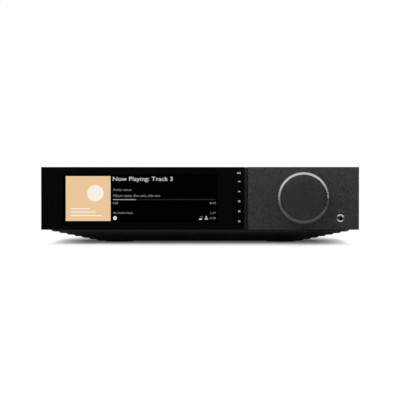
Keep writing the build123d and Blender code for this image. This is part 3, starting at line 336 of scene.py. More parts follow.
def lit_finish(name, colour, dip=0.12):
    """Light of one colour from behind glass, in fine rows and columns."""
    material = bpy.data.materials.new(name)
    material.use_nodes = True
    tree = material.node_tree
    shader = tree.nodes["Principled BSDF"]
    shader.inputs["Base Color"].default_value = (*screen_black, 1)
    shader.inputs["Roughness"].default_value = glass_roughness
    shader.inputs["Emission Strength"].default_value = 1.0
    place = tree.nodes.new("ShaderNodeTexCoord")
    mapping = tree.nodes.new("ShaderNodeMapping")
    mapping.inputs["Rotation"].default_value = (math.radians(-90), 0, 0)
    cells = tree.nodes.new("ShaderNodeTexBrick")
    cells.offset = 0.0
    cells.inputs["Scale"].default_value = 1 / (cell_size * mm)
    cells.inputs["Brick Width"].default_value = 1.0
    cells.inputs["Row Height"].default_value = 1.0
    cells.inputs["Mortar Size"].default_value = gap_share
    cells.inputs["Color1"].default_value = (*colour, 1)
    cells.inputs["Color2"].default_value = (*colour, 1)
    cells.inputs["Mortar"].default_value = (*[value * (1 - dip) for value in colour], 1)
    tree.links.new(place.outputs["Object"], mapping.inputs["Vector"])
    tree.links.new(mapping.outputs["Vector"], cells.inputs["Vector"])
    tree.links.new(cells.outputs["Color"], shader.inputs["Emission Color"])
    return material


lit = {
    "white": lit_finish("lit_white", (0.95, 0.95, 0.95)),
    "title": lit_finish("lit_title", (0.72, 0.72, 0.72)),
    "silver": lit_finish("lit_silver", (0.36, 0.36, 0.36)),
    "grey": lit_finish("lit_grey", (0.26, 0.26, 0.26)),
    "dim": lit_finish("lit_dim", (0.025, 0.025, 0.025)),
    "sand": lit_finish("lit_sand", (0.84, 0.578, 0.325), 0.03),
    "cream": lit_finish("lit_cream", (0.94, 0.87, 0.79), 0.03),
}
print("lit finishes:", len(lit))

# %% [markdown]
# Circuit boards are green lacquer over copper, and paler tracks run through the lacquer in steps. The
# thin joints of a brick pattern make such runs of track.

# %% Circuit board
track_pitch = 9.0
track_share = 0.03
track_colour = (0.05, 0.17, 0.08)


def board_finish():
    """Green lacquer with paler tracks."""
    material = fine_finish("circuit_board", (0.010, 0.060, 0.030), 0.3, 1.2, 0.006)
    tree = material.node_tree
    shader = tree.nodes["Principled BSDF"]
    shade = tree.nodes["Mix"]
    place = tree.nodes["Texture Coordinate"]
    tracks = tree.nodes.new("ShaderNodeTexBrick")
    tracks.inputs["Scale"].default_value = 1 / (track_pitch * mm)
    tracks.inputs["Mortar Size"].default_value = track_share
    tracks.inputs["Color1"].default_value = (0.0, 0.0, 0.0, 1)
    tracks.inputs["Color2"].default_value = (0.0, 0.0, 0.0, 1)
    tracks.inputs["Mortar"].default_value = (1.0, 1.0, 1.0, 1)
    tree.links.new(place.outputs["Object"], tracks.inputs["Vector"])
    over = tree.nodes.new("ShaderNodeMix")
    over.data_type = "RGBA"
    over.inputs["B"].default_value = (*track_colour, 1)
    tree.links.new(tracks.outputs["Color"], over.inputs["Factor"])
    tree.links.new(shade.outputs["Result"], over.inputs["A"])
    tree.links.new(over.outputs["Result"], shader.inputs["Base Color"])
    return material


finishes["board"] = board_finish()
print("finishes in all:", len(finishes))

# %% [markdown]
# Each solid of the frame now gets its finish. The list goes from finish to nodes, because many nodes
# share one, as they would share one supplier. A node's own slots take the material, so the mesh
# itself stays as it was packed.

# %% Finishes for the solids of the frame
key_names = ("play_pause", "skip_forward", "skip_back", "info", "speaker", "power")
key_nodes = tuple(f"{name}_key" for name in key_names)
cap_nodes = tuple(f"speaker_cap_{number}" for number in range(1, 5))
nodes_by_finish = {
    "fascia": ("fascia_plate",),
    "dial": ("source_dial",),
    "ring": ("volume_ring",),
    "chrome": ("headphone_collar",),
    "cover": ("top_cover", "rear_panel"),
    "base": ("stepped_base",),
    "keys": key_nodes,
    "frame": ("front_frame",),
    "jack": ("headphone_jack",),
    "moulded": ("post_insulators", "mains_inlet", "switch_housing", "rca_blocks",
                "optical_socket", "ethernet_socket", "socket_tongues", "key_switches",
                "output_devices"),
    "glossy": (*cap_nodes, "power_rocker"),
    "rubber": ("feet",),
    "zinc": ("chassis_tray", "encoder_body", "encoder_nut", "inner_screws", "post_nuts",
             "streaming_module"),
    "nickel": ("inlet_pins", "data_sockets"),
    "gold": ("binding_posts", "rca_barrels", "aerial_sockets"),
    "brass": ("standoffs",),
    "steel": ("volume_sleeve", "dial_shaft"),
    "black_screw": ("case_screws", "foot_screws"),
    "sink": ("heatsink",),
    "ferrite": ("transformer_core", "output_inductors"),
    "tape": ("transformer_winding",),
    "sleeve": ("supply_capacitors",),
    "white": ("rca_centres",),
    "lens": ("display_lens",),
    "window": ("lcd_panel",),
    "board": ("display_board", "key_board", "control_board", "main_board", "supply_board",
              "amplifier_board"),
}
dressed = set()
for finish_name, node_names in nodes_by_finish.items():
    for node_name in node_names:
        for material_slot in nodes[node_name].material_slots:
            material_slot.material = finishes[finish_name]
        dressed.add(node_name)
print("dressed nodes:", len(dressed), "left:", sorted(set(nodes) - dressed))

# %% [markdown]
# The screen shows a track as it plays. Its picture of a record cover is a design of plain shapes in
# sand and cream, drawn for this lesson, and its words only say what stands there. The window is one
# black sheet on the lens, and the lit things lie on it.

# %% The window of the screen
window_left = 22.0
window_right = 176.1
window_low = 7.0
window_high = 55.8
layer = 0.02

window = bmesh.new()
bar(window, window_left, window_right, window_low, window_high)
print_sheet(window, "screen_window", finishes["window"], thick=layer)

# %% The cover picture
cover_left = 24.6
cover_size = 44.9
cover_low = 8.8
cover_margin = 5.0
cover_right = cover_left + cover_size
cover_high = cover_low + cover_size
circle_radius = 8.2
circle_across = 0.66
circle_up = 0.62
circle_x = cover_left + circle_across * cover_size
circle_y = cover_low + circle_up * cover_size
bar_count = 3
bar_pitch = 3.4
bar_thick = 1.1
bar_short_of_edge = 9.0
bar_shortening = 6.0

sand = bmesh.new()
bar(sand, cover_left, cover_right, cover_low, cover_high)
print_sheet(sand, "screen_cover_ground", lit["sand"], above=layer)

cream = bmesh.new()
disc(cream, circle_x, circle_y, circle_radius, segments=96)
for step in range(bar_count):
    bar_low = cover_low + cover_margin + step * bar_pitch
    bar_right = cover_right - bar_short_of_edge - bar_shortening * step
    bar(cream, cover_left + cover_margin, bar_right, bar_low, bar_low + bar_thick)
print_sheet(cream, "screen_cover_shapes", lit["cream"], above=layer + sheet_thick)

# %% The words on the screen
text_left = 71.85
text_right = 174.85

title = bmesh.new()
words(title, "Now Playing: Track 3", text_left, low=48.95, height=4.35, width=59.8)
print_sheet(title, "screen_title", lit["title"], above=layer)

details = bmesh.new()
words(details, "Artist name", text_left, low=38.9, height=2.7, width=18.6)
words(details, "Album name, disc one, side two", text_left, low=32.9, height=2.9, width=47.2)
words(details, "44.1kHz/16bit", text_left, low=15.9, height=2.2, width=19.9)
words(details, "3 of 9", text_right - 5.8, low=15.9, height=2.1, width=5.5)
words(details, "10:30", text_right - 6.2, low=10.7, height=2.0, width=6.0)
print_sheet(details, "screen_details", lit["grey"], above=layer)

times = bmesh.new()
words(times, "1:58", text_left, low=25.8, height=2.0, width=5.1)
words(times, "8:12", text_right - 6.0, low=25.8, height=2.0, width=6.0)
print_sheet(times, "screen_times", lit["silver"], above=layer)

# %% The progress line and the icons
progress_low = 29.8
progress_high = 30.6
played_right = 94.95

played = bmesh.new()
bar(played, text_left, played_right, progress_low, progress_high)
print_sheet(played, "progress_played", lit["silver"], above=layer)

to_play = bmesh.new()
bar(to_play, played_right, text_right - 0.6, progress_low, progress_high)
print_sheet(to_play, "progress_to_play", lit["dim"], above=layer)

record_x = 73.9
record_y = 11.7
box_low = 10.15
box_high = 11.1
branch_high = 11.4
top_box_low = 11.9

icons = bmesh.new()
arc_band(icons, record_x, record_y, radius=1.3, width=1.1)
disc(icons, record_x, record_y, radius=0.25, segments=16)
bar(icons, 158.2, 160.6, box_low, box_high)
bar(icons, 164.75, 165.5, top_box_low, 13.7)
bar(icons, 165.05, 165.2, branch_high, top_box_low)
bar(icons, 163.9, 166.5, box_high, branch_high)
bar(icons, 163.75, 164.6, box_low, box_high)
bar(icons, 165.85, 166.7, box_low, box_high)
print_sheet(icons, "screen_icons", lit["white"], above=layer)

screen_lines = bmesh.new()
bar(screen_lines, 159.0, 161.65, 13.2, 13.6)
bar(screen_lines, 161.15, 161.65, 10.2, 13.2)
bar(screen_lines, 159.0, 159.5, 11.6, 13.2)
bar(screen_lines, 160.1, 160.6, 11.6, 12.6)
print_sheet(screen_lines, "screen_icon_lines", lit["grey"], above=layer)

# %% [markdown]
# Six small signs stand on the glass beside the keys. They are the usual signs for play and pause,
# for skipping either way, for information, for the speakers and for power, printed in bright ink.
# A faint sign of a headphone stands over its socket.

# %% Ink
ink = {
    "bright": fine_finish("bright_ink", (0.74, 0.74, 0.74), 0.5, 0.3, 0.001, spread=0.04),
    "pale": fine_finish("pale_ink", (0.34, 0.34, 0.34), 0.5, 0.3, 0.001, spread=0.08),
    "faint": fine_finish("faint_ink", (0.13, 0.13, 0.13), 0.5, 0.3, 0.001, spread=0.08),
}

# %% The signs beside the keys
sign_x = 198.1
sign_heights = (56.75, 48.25, 38.3, 28.5, 18.6, 8.5)
sign_tall = 0.7
play_tall = 0.95
play_z, forward_z, back_z, info_z, speaker_z, power_z = sign_heights

signs = bmesh.new()
pointer(signs, sign_x - 1.8, sign_x - 0.2, play_z - play_tall, play_z + play_tall)
bar(signs, sign_x + 0.1, sign_x + 0.55, play_z - play_tall, play_z + play_tall)
bar(signs, sign_x + 0.95, sign_x + 1.4, play_z - play_tall, play_z + play_tall)
pointer(signs, sign_x - 1.1, sign_x - 0.15, forward_z - sign_tall, forward_z + sign_tall)
pointer(signs, sign_x - 0.15, sign_x + 0.8, forward_z - sign_tall, forward_z + sign_tall)
bar(signs, sign_x + 0.8, sign_x + 1.15, forward_z - sign_tall, forward_z + sign_tall)
pointer(signs, sign_x + 0.15, sign_x + 1.1, back_z - sign_tall, back_z + sign_tall, backwards=True)
pointer(signs, sign_x - 0.8, sign_x + 0.15, back_z - sign_tall, back_z + sign_tall, backwards=True)
bar(signs, sign_x - 1.15, sign_x - 0.8, back_z - sign_tall, back_z + sign_tall)
arc_band(signs, sign_x, info_z, radius=0.9, width=0.35)
bar(signs, sign_x - 0.15, sign_x + 0.15, info_z - 0.5, info_z + 0.15)
disc(signs, sign_x, info_z + 0.4, radius=0.15, segments=12)
horn_back = sign_x - 0.5
horn_front = sign_x + 0.3
bar(signs, horn_back - 0.6, horn_back, speaker_z - 0.5, speaker_z + 0.5)
patch(signs, [(horn_back, speaker_z - 0.5), (horn_front, speaker_z - 1.0),
              (horn_front, speaker_z + 1.0), (horn_back, speaker_z + 0.5)])
arc_band(signs, sign_x + 0.15, speaker_z, radius=0.85, width=0.35,
         start=-55, sweep=110, steps=16)
arc_band(signs, sign_x, power_z, radius=0.9, width=0.35, start=125, sweep=290, steps=40)
bar(signs, sign_x - 0.18, sign_x + 0.18, power_z + 0.2, power_z + 1.2)
print_sheet(signs, "key_signs", ink["bright"])

# %% The sign over the headphone socket
collar_low, collar_high = box_mm("headphone_collar")
jack_x = (collar_low.x + collar_high.x) / 2
jack_z = (collar_low.z + collar_high.z) / 2
jack_across = jack_x - front_corner.x
jack_up = jack_z - front_corner.z
phones_z = 18.5
phones = bmesh.new()
arc_band(phones, jack_across, phones_z, radius=1.5, width=0.3,
         start=-5, sweep=190, steps=32)
bar(phones, jack_across - 1.9, jack_across - 1.1, phones_z - 1.5, phones_z - 0.15)
bar(phones, jack_across + 1.1, jack_across + 1.9, phones_z - 1.5, phones_z - 0.15)
print_sheet(phones, "headphone_sign", ink["faint"])

# %% [markdown]
# The knob is turned work. A profile of radius and height is drawn once, as a chain of vertices, and
# spin carries it round the axis. The outer ring is fluted: after the spin, each vertex of the rim is
# drawn in by a wave with one trough for each flute. The flutes get shallower towards the lip. The
# collar of the headphone socket is turned as well, and two small springs show inside the socket, on
# its left side. Their pale grey is partly painted light, for the lighter left side of the hole.

# %% Turned pieces
knob_low, knob_high = box_mm("volume_ring")
knob_x = (knob_low.x + knob_high.x) / 2
knob_z = (knob_low.z + knob_high.z) / 2
knob_proud = face_y - knob_low.y


def turned(profile, steps, closed=True):
    """A turned shape on the front, from points of radius and height, in millimetres."""
    shape = bmesh.new()
    chain = [shape.verts.new((radius, 0, height)) for radius, height in profile]
    edges = [shape.edges.new(pair) for pair in zip(chain, chain[1:])]
    if closed:
        edges.append(shape.edges.new((chain[-1], chain[0])))
    bmesh.ops.spin(
        shape,
        geom=chain + edges,
        cent=(0, 0, 0),
        axis=(0, 0, 1),
        angle=math.radians(360),
        steps=steps,
        use_merge=True,
    )
    bmesh.ops.remove_doubles(shape, verts=shape.verts, dist=merge_mm)
    return shape


def set_on_front(shape, x, z):
    """Stands a turned shape on the front at a place, and brings it to metres."""
    plane = Matrix.Translation((x, face_y, z))
    bmesh.ops.transform(shape, matrix=Matrix.Scale(mm, 4) @ plane @ stand_front, verts=shape.verts)


# %% The fluted ring
ring_wall = 2.75
lip_width = 0.45
skirt_wall = 3.4
sleeve_radius = 3.5
hub_radius = 7.5
hub_back = 3.0
hub_front = 11.0
web_back = 5.5
web_front = 8.0
ring_back = 0.8
bevel_edge = 0.2
lip_corner = 0.06
side_corner = 0.05
back_edge = 0.3
ring_steps = 720
flute_count = 90
flute_depth = 0.4
flute_share_at_lip = 0.25
ring_radius = (knob_high.x - knob_low.x) / 2
ring_bore = ring_radius - ring_wall
ring_lip = ring_bore + lip_width
side_top = knob_proud - (ring_radius - ring_lip)
skirt_radius = ring_radius - skirt_wall
ring_profile = [
    (sleeve_radius, hub_front), (hub_radius, hub_front), (hub_radius, web_front),
    (ring_bore, web_front), (ring_bore, knob_proud - bevel_edge),
    (ring_bore + lip_corner, knob_proud - lip_corner), (ring_bore + bevel_edge, knob_proud),
    (ring_lip, knob_proud), (ring_radius - bevel_edge, side_top + bevel_edge),
    (ring_radius - side_corner, side_top), (ring_radius, side_top - bevel_edge),
    (ring_radius, web_front), (ring_radius, ring_back + back_edge),
    (ring_radius - back_edge, ring_back), (skirt_radius, ring_back), (skirt_radius, web_back),
    (hub_radius, web_back), (hub_radius, hub_back), (sleeve_radius, hub_back),
]
ring = turned(ring_profile, ring_steps)
for vertex in ring.verts:
    reach = math.hypot(vertex.co.x, vertex.co.y)
    rim = min(max((reach - ring_lip) / (ring_radius - ring_lip), 0), 1)
    if rim > 0:
        angle = math.atan2(vertex.co.y, vertex.co.x)
        wave = (1 - math.cos(flute_count * angle)) / 2
        share = flute_share_at_lip + (1 - flute_share_at_lip) * rim
        pull = 1 - flute_depth * share * wave / reach
        vertex.co.x *= pull
        vertex.co.y *= pull
set_on_front(ring, knob_x, knob_z)
make_piece(ring, "fluted_volume_ring", finishes["ring"], "volume_knob", ("volume_ring",))

# %% The inner dial
dial_gap = 0.3
dial_wall = 1.5
dial_recess = 0.5
dial_thick = 2.1
dial_skirt = 6.0
dial_edge = 0.4
dial_corner = 0.12
shaft_radius = 2.0
dial_hub_radius = 5.0
dial_hub_back = hub_front + dial_gap
dial_steps = 192
outer_face_ring = 15.0
inner_face_ring = 8.0
dial_radius = ring_bore - dial_gap
dial_inner = dial_radius - dial_wall
dial_face = knob_proud - dial_recess
dial_floor = dial_face - dial_thick
dial_back = dial_face - dial_skirt
dial_profile = [
    (0, dial_floor), (shaft_radius, dial_floor), (shaft_radius, dial_hub_back),
    (dial_hub_radius, dial_hub_back), (dial_hub_radius, dial_floor),
    (dial_inner, dial_floor), (dial_inner, dial_back), (dial_radius, dial_back),
    (dial_radius, dial_face - dial_edge), (dial_radius - dial_corner, dial_face - dial_corner),
    (dial_radius - dial_edge, dial_face), (outer_face_ring, dial_face),
    (inner_face_ring, dial_face), (0, dial_face),
]
dial = turned(dial_profile, dial_steps, closed=False)
set_on_front(dial, knob_x, knob_z)
make_piece(dial, "turned_source_dial", finishes["dial"], "source_knob",
           ("source_dial",))

# %% The collar of the headphone socket
collar_inner = 2.25
collar_outer = 4.15
collar_stub = 3.45
collar_proud = 1.0
collar_segments = 96
dome_steps = 16
plate_thick = 4.0
collar_profile = [(collar_inner, -plate_thick), (collar_stub, -plate_thick), (collar_stub, 0)]
collar_middle = (collar_inner + collar_outer) / 2
collar_half = (collar_outer - collar_inner) / 2
for step in range(dome_steps + 1):
    angle = math.pi * step / dome_steps
    across = collar_middle + collar_half * math.cos(angle)
    collar_profile.append((across, collar_proud * math.sin(angle)))
collar = turned(collar_profile, collar_segments)
set_on_front(collar, jack_x, jack_z)
make_piece(collar, "domed_collar", finishes["chrome"], chassis, ("headphone_collar",))

# %% The sprung contacts in the socket, their pale grey partly painted light
contact_depth = 1.2
contact_thick = 0.3
contact_radius = 1.4
contact_width = 0.7
contact_sweep = 60
contact_turns = (145, 215)
contacts = bmesh.new()
# The contacts stand only on the left of the hole, where their pale grey paints its lighter side.
for turn in contact_turns:
    arc_band(contacts, jack_across, jack_up, contact_radius, contact_width,
             start=turn - contact_sweep / 2, sweep=contact_sweep, steps=12)
print_sheet(contacts, "sprung_contacts", finishes["contact"],
            thick=contact_thick, above=-contact_depth)

# %% [markdown]
# The back is read from behind, so its sheets are turned and x runs the other way. Every word stands
# close to what it names. Each place is taken from the solids, so the words follow them.

# %% The printing on the back
posts = middles("binding_posts")
barrels = middles("rca_barrels")
aerials = middles("aerial_sockets")
data_places = middles("data_sockets")
optical_low, optical_high = box_mm("optical_socket")
network_low, network_high = box_mm("ethernet_socket")
inlet_low, inlet_high = box_mm("mains_inlet")
switch_low, switch_high = box_mm("switch_housing")
small_caps = 2.0
large_caps = 2.4
sign_size = 3.0
sign_half = 0.25
word_gap = 2.4
post_sign_rise = 10.0
pair_rise = 15.0
heading_rise = 5.0
phono_reach = 5.0
aerial_reach = 4.5

printing = bmesh.new()


def over(text, x, z, height=small_caps):
    """A word on the back, centred on a place of the object."""
    words(printing, text, -x, z, height, centred=True)


speaker_middle = (posts[0].x + posts[-1].x) / 2
over("SPEAKERS", speaker_middle, posts[0].z + pair_rise + heading_rise, large_caps)
for side, first, second in (("R", *posts[:2]), ("L", *posts[2:])):
    over(side, (first.x + second.x) / 2, first.z + pair_rise, large_caps)
    for post, plus in ((first, True), (second, False)):
        low = post.z + post_sign_rise
        reach = sign_size / 2
        bar(printing, -post.x - reach, -post.x + reach, low - sign_half, low + sign_half)
        if plus:
            bar(printing, -post.x - sign_half, -post.x + sign_half, low - reach, low - sign_half)
            bar(printing, -post.x - sign_half, -post.x + sign_half, low + sign_half, low + reach)
for text, column in (("IN", barrels[:2]), ("OUT", barrels[2:])):
    over(text, column[1].x, column[1].z + phono_reach + word_gap)
for text, barrel in zip("RL", barrels[:2]):
    over(text, (barrels[0].x + barrels[2].x) / 2, barrel.z - small_caps / 2)
word_height = network_high.z + word_gap
over("OPTICAL", (optical_low.x + optical_high.x) / 2, word_height)
over("VIDEO", data_places[0].x, word_height)
over("DATA", data_places[1].x, word_height)
over("NETWORK", (network_low.x + network_high.x) / 2, word_height)
for aerial in aerials:
    over("AERIAL", aerial.x, aerial.z - aerial_reach - word_gap - small_caps)
over("MAINS", (inlet_low.x + inlet_high.x) / 2, inlet_high.z + word_gap)
over("POWER", (switch_low.x + switch_high.x) / 2, inlet_high.z + word_gap)
print_sheet(printing, "rear_printing", ink["pale"], rear=True)

# %% [markdown]
# Colours help to plug things in: a red ring round each positive speaker cap, and a white and a red
# ring round the left and right signal sockets. A ring on a cap turns with its cap.

# %% Coloured rings
colours = {
    "white": fine_finish("white_ring", (0.75, 0.75, 0.73), 0.4, 0.5, 0.004),
    "red": fine_finish("red_ring", (0.45, 0.02, 0.015), 0.35, 0.5, 0.004),
}
cap_ring_radius = 5.4
cap_ring_width = 1.3
socket_ring_radius = 4.55
socket_ring_width = 0.6
shoulder_proud = 0.5
for number, post in enumerate(posts, start=1):
    if number % 2:
        cap_tip = box_mm(f"speaker_cap_{number}")[1].y
        ring_sheet = bmesh.new()
        arc_band(ring_sheet, -post.x, post.z, cap_ring_radius, cap_ring_width)
        print_sheet(ring_sheet, f"cap_ring_{number}", colours["red"],
                    above=cap_tip - rear_y, rear=True, body=f"speaker_cap_{number}")
for name, row in (("white", barrels[1::2]), ("red", barrels[0::2])):
    ring_sheet = bmesh.new()
    for barrel in row:
        arc_band(ring_sheet, -barrel.x, barrel.z, socket_ring_radius, socket_ring_width)
    print_sheet(ring_sheet, f"{name}_socket_rings", colours[name],
                above=shoulder_proud, rear=True)

# %% [markdown]
# The screws get a hollow hexagon. A head is turned like the knob, with a round hole, and then the
# points of the hole are drawn in until they lie on six straight sides.

# %% Screws
screw_segments = 48
hole_radius = 1.35
hole_share = 0.7
head_edge = 0.15
head_radius = 3.0
shank_radius = 1.45
screw_reach = 3.6
point_slack = 0.01
hexagon_side = math.radians(60)


def screw(head_thick):
    """A screw with its head on the ground and its shank below, and a hexagonal hole in the head."""
    hole_floor = head_thick - hole_share * head_thick
    profile = [
        (0, -screw_reach), (shank_radius, -screw_reach), (shank_radius, 0), (head_radius, 0),
        (head_radius, head_thick - head_edge), (head_radius - head_edge, head_thick),
        (hole_radius, head_thick), (hole_radius, hole_floor), (0, hole_floor),
    ]
    shape = turned(profile, screw_segments, closed=False)
    for vertex in shape.verts:
        off_hole = abs(math.hypot(vertex.co.x, vertex.co.y) - hole_radius)
        if vertex.co.z > 0 and off_hole < point_slack:
            turn = math.atan2(vertex.co.y, vertex.co.x) % hexagon_side - hexagon_side / 2
            flat_side = math.cos(hexagon_side / 2) / math.cos(turn)
            vertex.co.x *= flat_side
            vertex.co.y *= flat_side
    return shape


def add_screw(sheet, shape, place):
    """Puts a copy of a screw into a sheet, at a place given as a matrix in millimetres."""
    copy = bpy.data.meshes.new("screw")
    shape.to_mesh(copy)
    copy.transform(Matrix.Scale(mm, 4) @ place)
    sheet.from_mesh(copy)
    bpy.data.meshes.remove(copy)


outermost = box_mm("case_screws")[1].x
near_side = 150.0
side_head = 0.5
rear_head = 1.8
side_screw = screw(side_head)
rear_screw = screw(rear_head)
case_screws = bmesh.new()
for place in middles("case_screws"):
    if abs(place.x) > near_side:
        side = 1 if place.x > 0 else -1
        seat = Matrix.Translation((side * (outermost - side_head), place.y, place.z))
        add_screw(case_screws, side_screw, seat @ Matrix.Rotation(side * math.radians(90), 4, "Y"))
    else:
        seat = Matrix.Translation((place.x, rear_y, place.z))
        add_screw(case_screws, rear_screw, seat @ stand_rear)
make_piece(case_screws, "hexagon_case_screws", finishes["black_screw"], chassis,
           ("case_screws",))

# %% [markdown]
# The studio is plain. The floor is one large pale sheet, paler to the camera and to mirrors than to
# the light that bounces off it. For the camera alone, plain white is painted over the floor by the
# distance behind the front and out to the sides. This painted light whitens the shade beside and
# behind the amplifier and lightens the dark just under its front, so its shadow stays only as a thin
# band, with no more light on the amplifier. From below, the floor is clear. The sky is white where
# something looks at it, and gives less light than it shows. A wide soft sun from above and behind
# lays a shadow in front of the base, and a smaller one from the front, high at the left, lays the
# shadow of the knob.

# %% The floor
floor_size = 24.0
floor_plain = 0.8
floor_mirrored = 1.1
floor_seen = 1.26
# Painted light: shares of plain white that the camera sees over the floor's shade, by depth behind the
# front and by distance out to the side.
painted_light_by_depth = (
    (-0.01, 0.0), (0.015, 0.2), (0.06, 0.095), (0.1, 0.04), (0.14, 0.22), (0.17, 0.45), (0.24, 0.95),
)
painted_light_by_side = (
    (0.118, 0.0), (0.13, 0.12), (0.14, 0.3), (0.146, 0.48), (0.152, 0.9), (0.162, 1.0),
)


def seen_ray(tree):
    """One where a camera, a mirror or a glass looks, nought for light that only bounces."""
    path = tree.nodes.new("ShaderNodeLightPath")
    first = tree.nodes.new("ShaderNodeMath")
    first.operation = "MAXIMUM"
    second = tree.nodes.new("ShaderNodeMath")
    second.operation = "MAXIMUM"
    tree.links.new(path.outputs["Is Camera Ray"], first.inputs[0])
    tree.links.new(path.outputs["Is Glossy Ray"], first.inputs[1])
    tree.links.new(first.outputs["Value"], second.inputs[0])
    tree.links.new(path.outputs["Is Transmission Ray"], second.inputs[1])
    return second.outputs["Value"]


def multiply_add(tree, value, factor, addend):
    """The output of value times factor plus addend; factor and addend are a number or an output."""
    node = tree.nodes.new("ShaderNodeMath")
    node.operation = "MULTIPLY_ADD"
    for socket, source in zip(node.inputs, (value, factor, addend)):
        if isinstance(source, bpy.types.NodeSocket):
            tree.links.new(source, socket)
        else:
            socket.default_value = source
    return node.outputs["Value"]


def ramp(tree, value, stops):
    """A value read along stops of place and share, with straight lines between the stops."""
    nearest = stops[0][0]
    furthest = stops[-1][0]
    along = tree.nodes.new("ShaderNodeMapRange")
    along.inputs["From Min"].default_value = nearest
    along.inputs["From Max"].default_value = furthest
    shares = tree.nodes.new("ShaderNodeValToRGB")
    points = shares.color_ramp.elements
    while len(points) < len(stops):
        points.new(0.5)
    for point, (place, share) in zip(points, stops):
        point.position = (place - nearest) / (furthest - nearest)
        point.color = (share, share, share, 1)
    tree.links.new(value, along.inputs["Value"])
    tree.links.new(along.outputs["Result"], shares.inputs["Fac"])
    return shares.outputs["Color"]


floor_material = bpy.data.materials.new("studio_floor")
floor_material.use_nodes = True
floor_tree = floor_material.node_tree
floor_tree.nodes.remove(floor_tree.nodes["Principled BSDF"])
floor_shader = floor_tree.nodes.new("ShaderNodeBsdfDiffuse")
floor_path = floor_tree.nodes.new("ShaderNodeLightPath")
by_camera = floor_path.outputs["Is Camera Ray"]
in_mirrors = multiply_add(
    floor_tree, seen_ray(floor_tree), floor_mirrored - floor_plain, floor_plain
)
looked_at = multiply_add(floor_tree, by_camera, floor_seen - floor_mirrored, in_mirrors)
floor_tree.links.new(looked_at, floor_shader.inputs["Color"])

# %% The painted light on the floor
floor_place = floor_tree.nodes.new("ShaderNodeTexCoord")
floor_axes = floor_tree.nodes.new("ShaderNodeSeparateXYZ")
aside = floor_tree.nodes.new("ShaderNodeMath")
aside.operation = "ABSOLUTE"
floor_tree.links.new(floor_place.outputs["Object"], floor_axes.inputs["Vector"])
floor_tree.links.new(floor_axes.outputs["X"], aside.inputs[0])
depth = multiply_add(floor_tree, floor_axes.outputs["Y"], 1.0, -front_plane)
depth_painted_light = ramp(floor_tree, depth, painted_light_by_depth)
side_painted_light = ramp(floor_tree, aside.outputs["Value"], painted_light_by_side)
painted_light_share = multiply_add(floor_tree, depth_painted_light, 1.0, side_painted_light)
floor_painted_light = floor_tree.nodes.new("ShaderNodeEmission")
floor_painted_light.inputs["Strength"].default_value = 1.0

# %% The floor as a piece of the studio
floor_lit = floor_tree.nodes.new("ShaderNodeMixShader")
floor_side = floor_tree.nodes.new("ShaderNodeNewGeometry")
floor_clear = floor_tree.nodes.new("ShaderNodeBsdfTransparent")
floor_mix = floor_tree.nodes.new("ShaderNodeMixShader")
# The painted light is mixed over the lit floor, for the camera alone.
floor_tree.links.new(multiply_add(floor_tree, painted_light_share, by_camera, 0.0), floor_lit.inputs["Fac"])
floor_tree.links.new(floor_shader.outputs["BSDF"], floor_lit.inputs[1])
floor_tree.links.new(floor_painted_light.outputs["Emission"], floor_lit.inputs[2])
floor_tree.links.new(floor_side.outputs["Backfacing"], floor_mix.inputs["Fac"])
floor_tree.links.new(floor_lit.outputs["Shader"], floor_mix.inputs[1])
floor_tree.links.new(floor_clear.outputs["BSDF"], floor_mix.inputs[2])
floor_tree.links.new(
    floor_mix.outputs["Shader"], floor_tree.nodes["Material Output"].inputs["Surface"]
)
floor_mesh = bpy.data.meshes.new("studio_floor")
floor_shape = bmesh.new()
bmesh.ops.create_grid(floor_shape, x_segments=1, y_segments=1, size=floor_size / 2)
floor_shape.to_mesh(floor_mesh)
floor_shape.free()
floor_mesh.materials.append(floor_material)
floor = bpy.data.objects.new("studio_floor", floor_mesh)
bpy.context.scene.collection.objects.link(floor)

# %% The sky
sky_light = 0.62
sky_seen = 1.0

world = bpy.data.worlds.new("studio_sky")
bpy.context.scene.world = world
world.use_nodes = True
sky = world.node_tree.nodes["Background"]
sky.inputs["Color"].default_value = (1, 1, 1, 1)
sky_strength = multiply_add(
    world.node_tree, seen_ray(world.node_tree), sky_seen - sky_light, sky_light
)
world.node_tree.links.new(sky_strength, sky.inputs["Strength"])

# %% The suns
def sun(name, travel, strength, width, mirrored):
    """A soft sun whose light travels along a direction; the width is in degrees."""
    data = bpy.data.lights.new(name, "SUN")
    data.energy = strength
    data.angle = math.radians(width)
    lamp = bpy.data.objects.new(name, data)
    lamp.visible_glossy = mirrored
    lamp.rotation_euler = Vector(travel).to_track_quat("-Z", "Y").to_euler()
    bpy.context.scene.collection.objects.link(lamp)


sun("top_sun", (0.0, -0.3, -1.0), strength=0.4, width=50, mirrored=False)
sun("key_sun", (0.5, 0.6, -0.7), strength=0.6, width=20, mirrored=True)

# %% [markdown]
# Black glass and bright metal show what stands opposite, so a studio puts cards there. A low black
# card stands in front, between the lens and the white floor. A black one stands to the right
# and a pale one to the left. Three grey ones lie on the floor, under the knob, to its left and to
# its right, and the bright ring of the knob turns dark where it faces them. Only mirrors and glass
# see the cards.

# %% The cards
def card_finish(name, grey):
    """Plain matt paper of one grey, without any gloss."""
    material = bpy.data.materials.new(name)
    material.use_nodes = True
    shader = material.node_tree.nodes["Principled BSDF"]
    shader.inputs["Base Color"].default_value = (grey, grey, grey, 1)
    shader.inputs["Roughness"].default_value = 1.0
    shader.inputs["Specular IOR Level"].default_value = 0.0
    return material


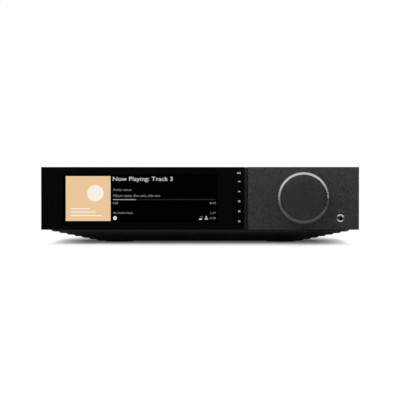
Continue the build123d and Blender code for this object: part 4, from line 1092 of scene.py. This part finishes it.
def studio_card(name, middle, size, turn, material):
    """A flat card with its middle at a place, drawn lying down and then turned."""
    shape = bmesh.new()
    place = Matrix.Translation(middle) @ turn @ Matrix.Diagonal((*size, 1, 1))
    bmesh.ops.create_grid(shape, x_segments=1, y_segments=1, size=0.5, matrix=place)
    mesh = bpy.data.meshes.new(name)
    shape.to_mesh(mesh)
    shape.free()
    mesh.materials.append(material)
    card = bpy.data.objects.new(name, mesh)
    card.visible_camera = False
    card.visible_diffuse = False
    card.visible_shadow = False
    bpy.context.scene.collection.objects.link(card)


stand_side = Matrix.Rotation(math.radians(90), 4, "Y")
flat = Matrix.Identity(4)
on_floor = 0.0005
black_card = card_finish("black_card", 0.002)
dark_grey = card_finish("dark_grey_card", 0.2)
mid_grey = card_finish("mid_grey_card", 0.24)
pale_grey = card_finish("pale_grey_card", 0.32)
studio_card("front_card", (-0.04, front_plane - 0.15, 0.0405), (0.5, 0.081), stand_front, black_card)
studio_card("right_card", (0.5, -0.4, 0.08), (0.16, 1.0), stand_side, black_card)
studio_card("left_card", (-0.55, -0.4, 0.05), (0.1, 1.0), stand_side, pale_grey)
studio_card("floor_card", (0.1125, front_plane - 0.024, on_floor), (0.105, 0.06), flat, mid_grey)
studio_card("left_floor_card", (-0.12, front_plane - 0.024, on_floor), (0.36, 0.06), flat, pale_grey)
studio_card("right_floor_card", (0.3325, front_plane - 0.05, on_floor), (0.335, 0.4), flat, dark_grey)

# %% [markdown]
# The picture was taken from straight in front with a long lens: no top and no sides show. At the
# front plane one pixel is one millimetre, so 400 pixels take a frame 0.4 metres wide.

# %% The camera
camera_distance = 2.0
camera_height = 0.075
frame_width = 0.4
aim_x = -0.00008
aim_rise = 29.8
aim = Vector((aim_x, front_plane, (plate_low + aim_rise) * mm))

camera_data = bpy.data.cameras.new("front_camera")
camera_data.sensor_width = 36.0
camera_data.lens = camera_data.sensor_width * camera_distance / frame_width
camera = bpy.data.objects.new("front_camera", camera_data)
camera.location = (aim.x, aim.y - camera_distance, camera_height)
camera.rotation_euler = (aim - camera.location).to_track_quat("-Z", "Y").to_euler()
bpy.context.scene.collection.objects.link(camera)
bpy.context.scene.camera = camera
bpy.context.scene.view_settings.view_transform = "Standard"
print("lens:", round(camera_data.lens, 1), "mm")
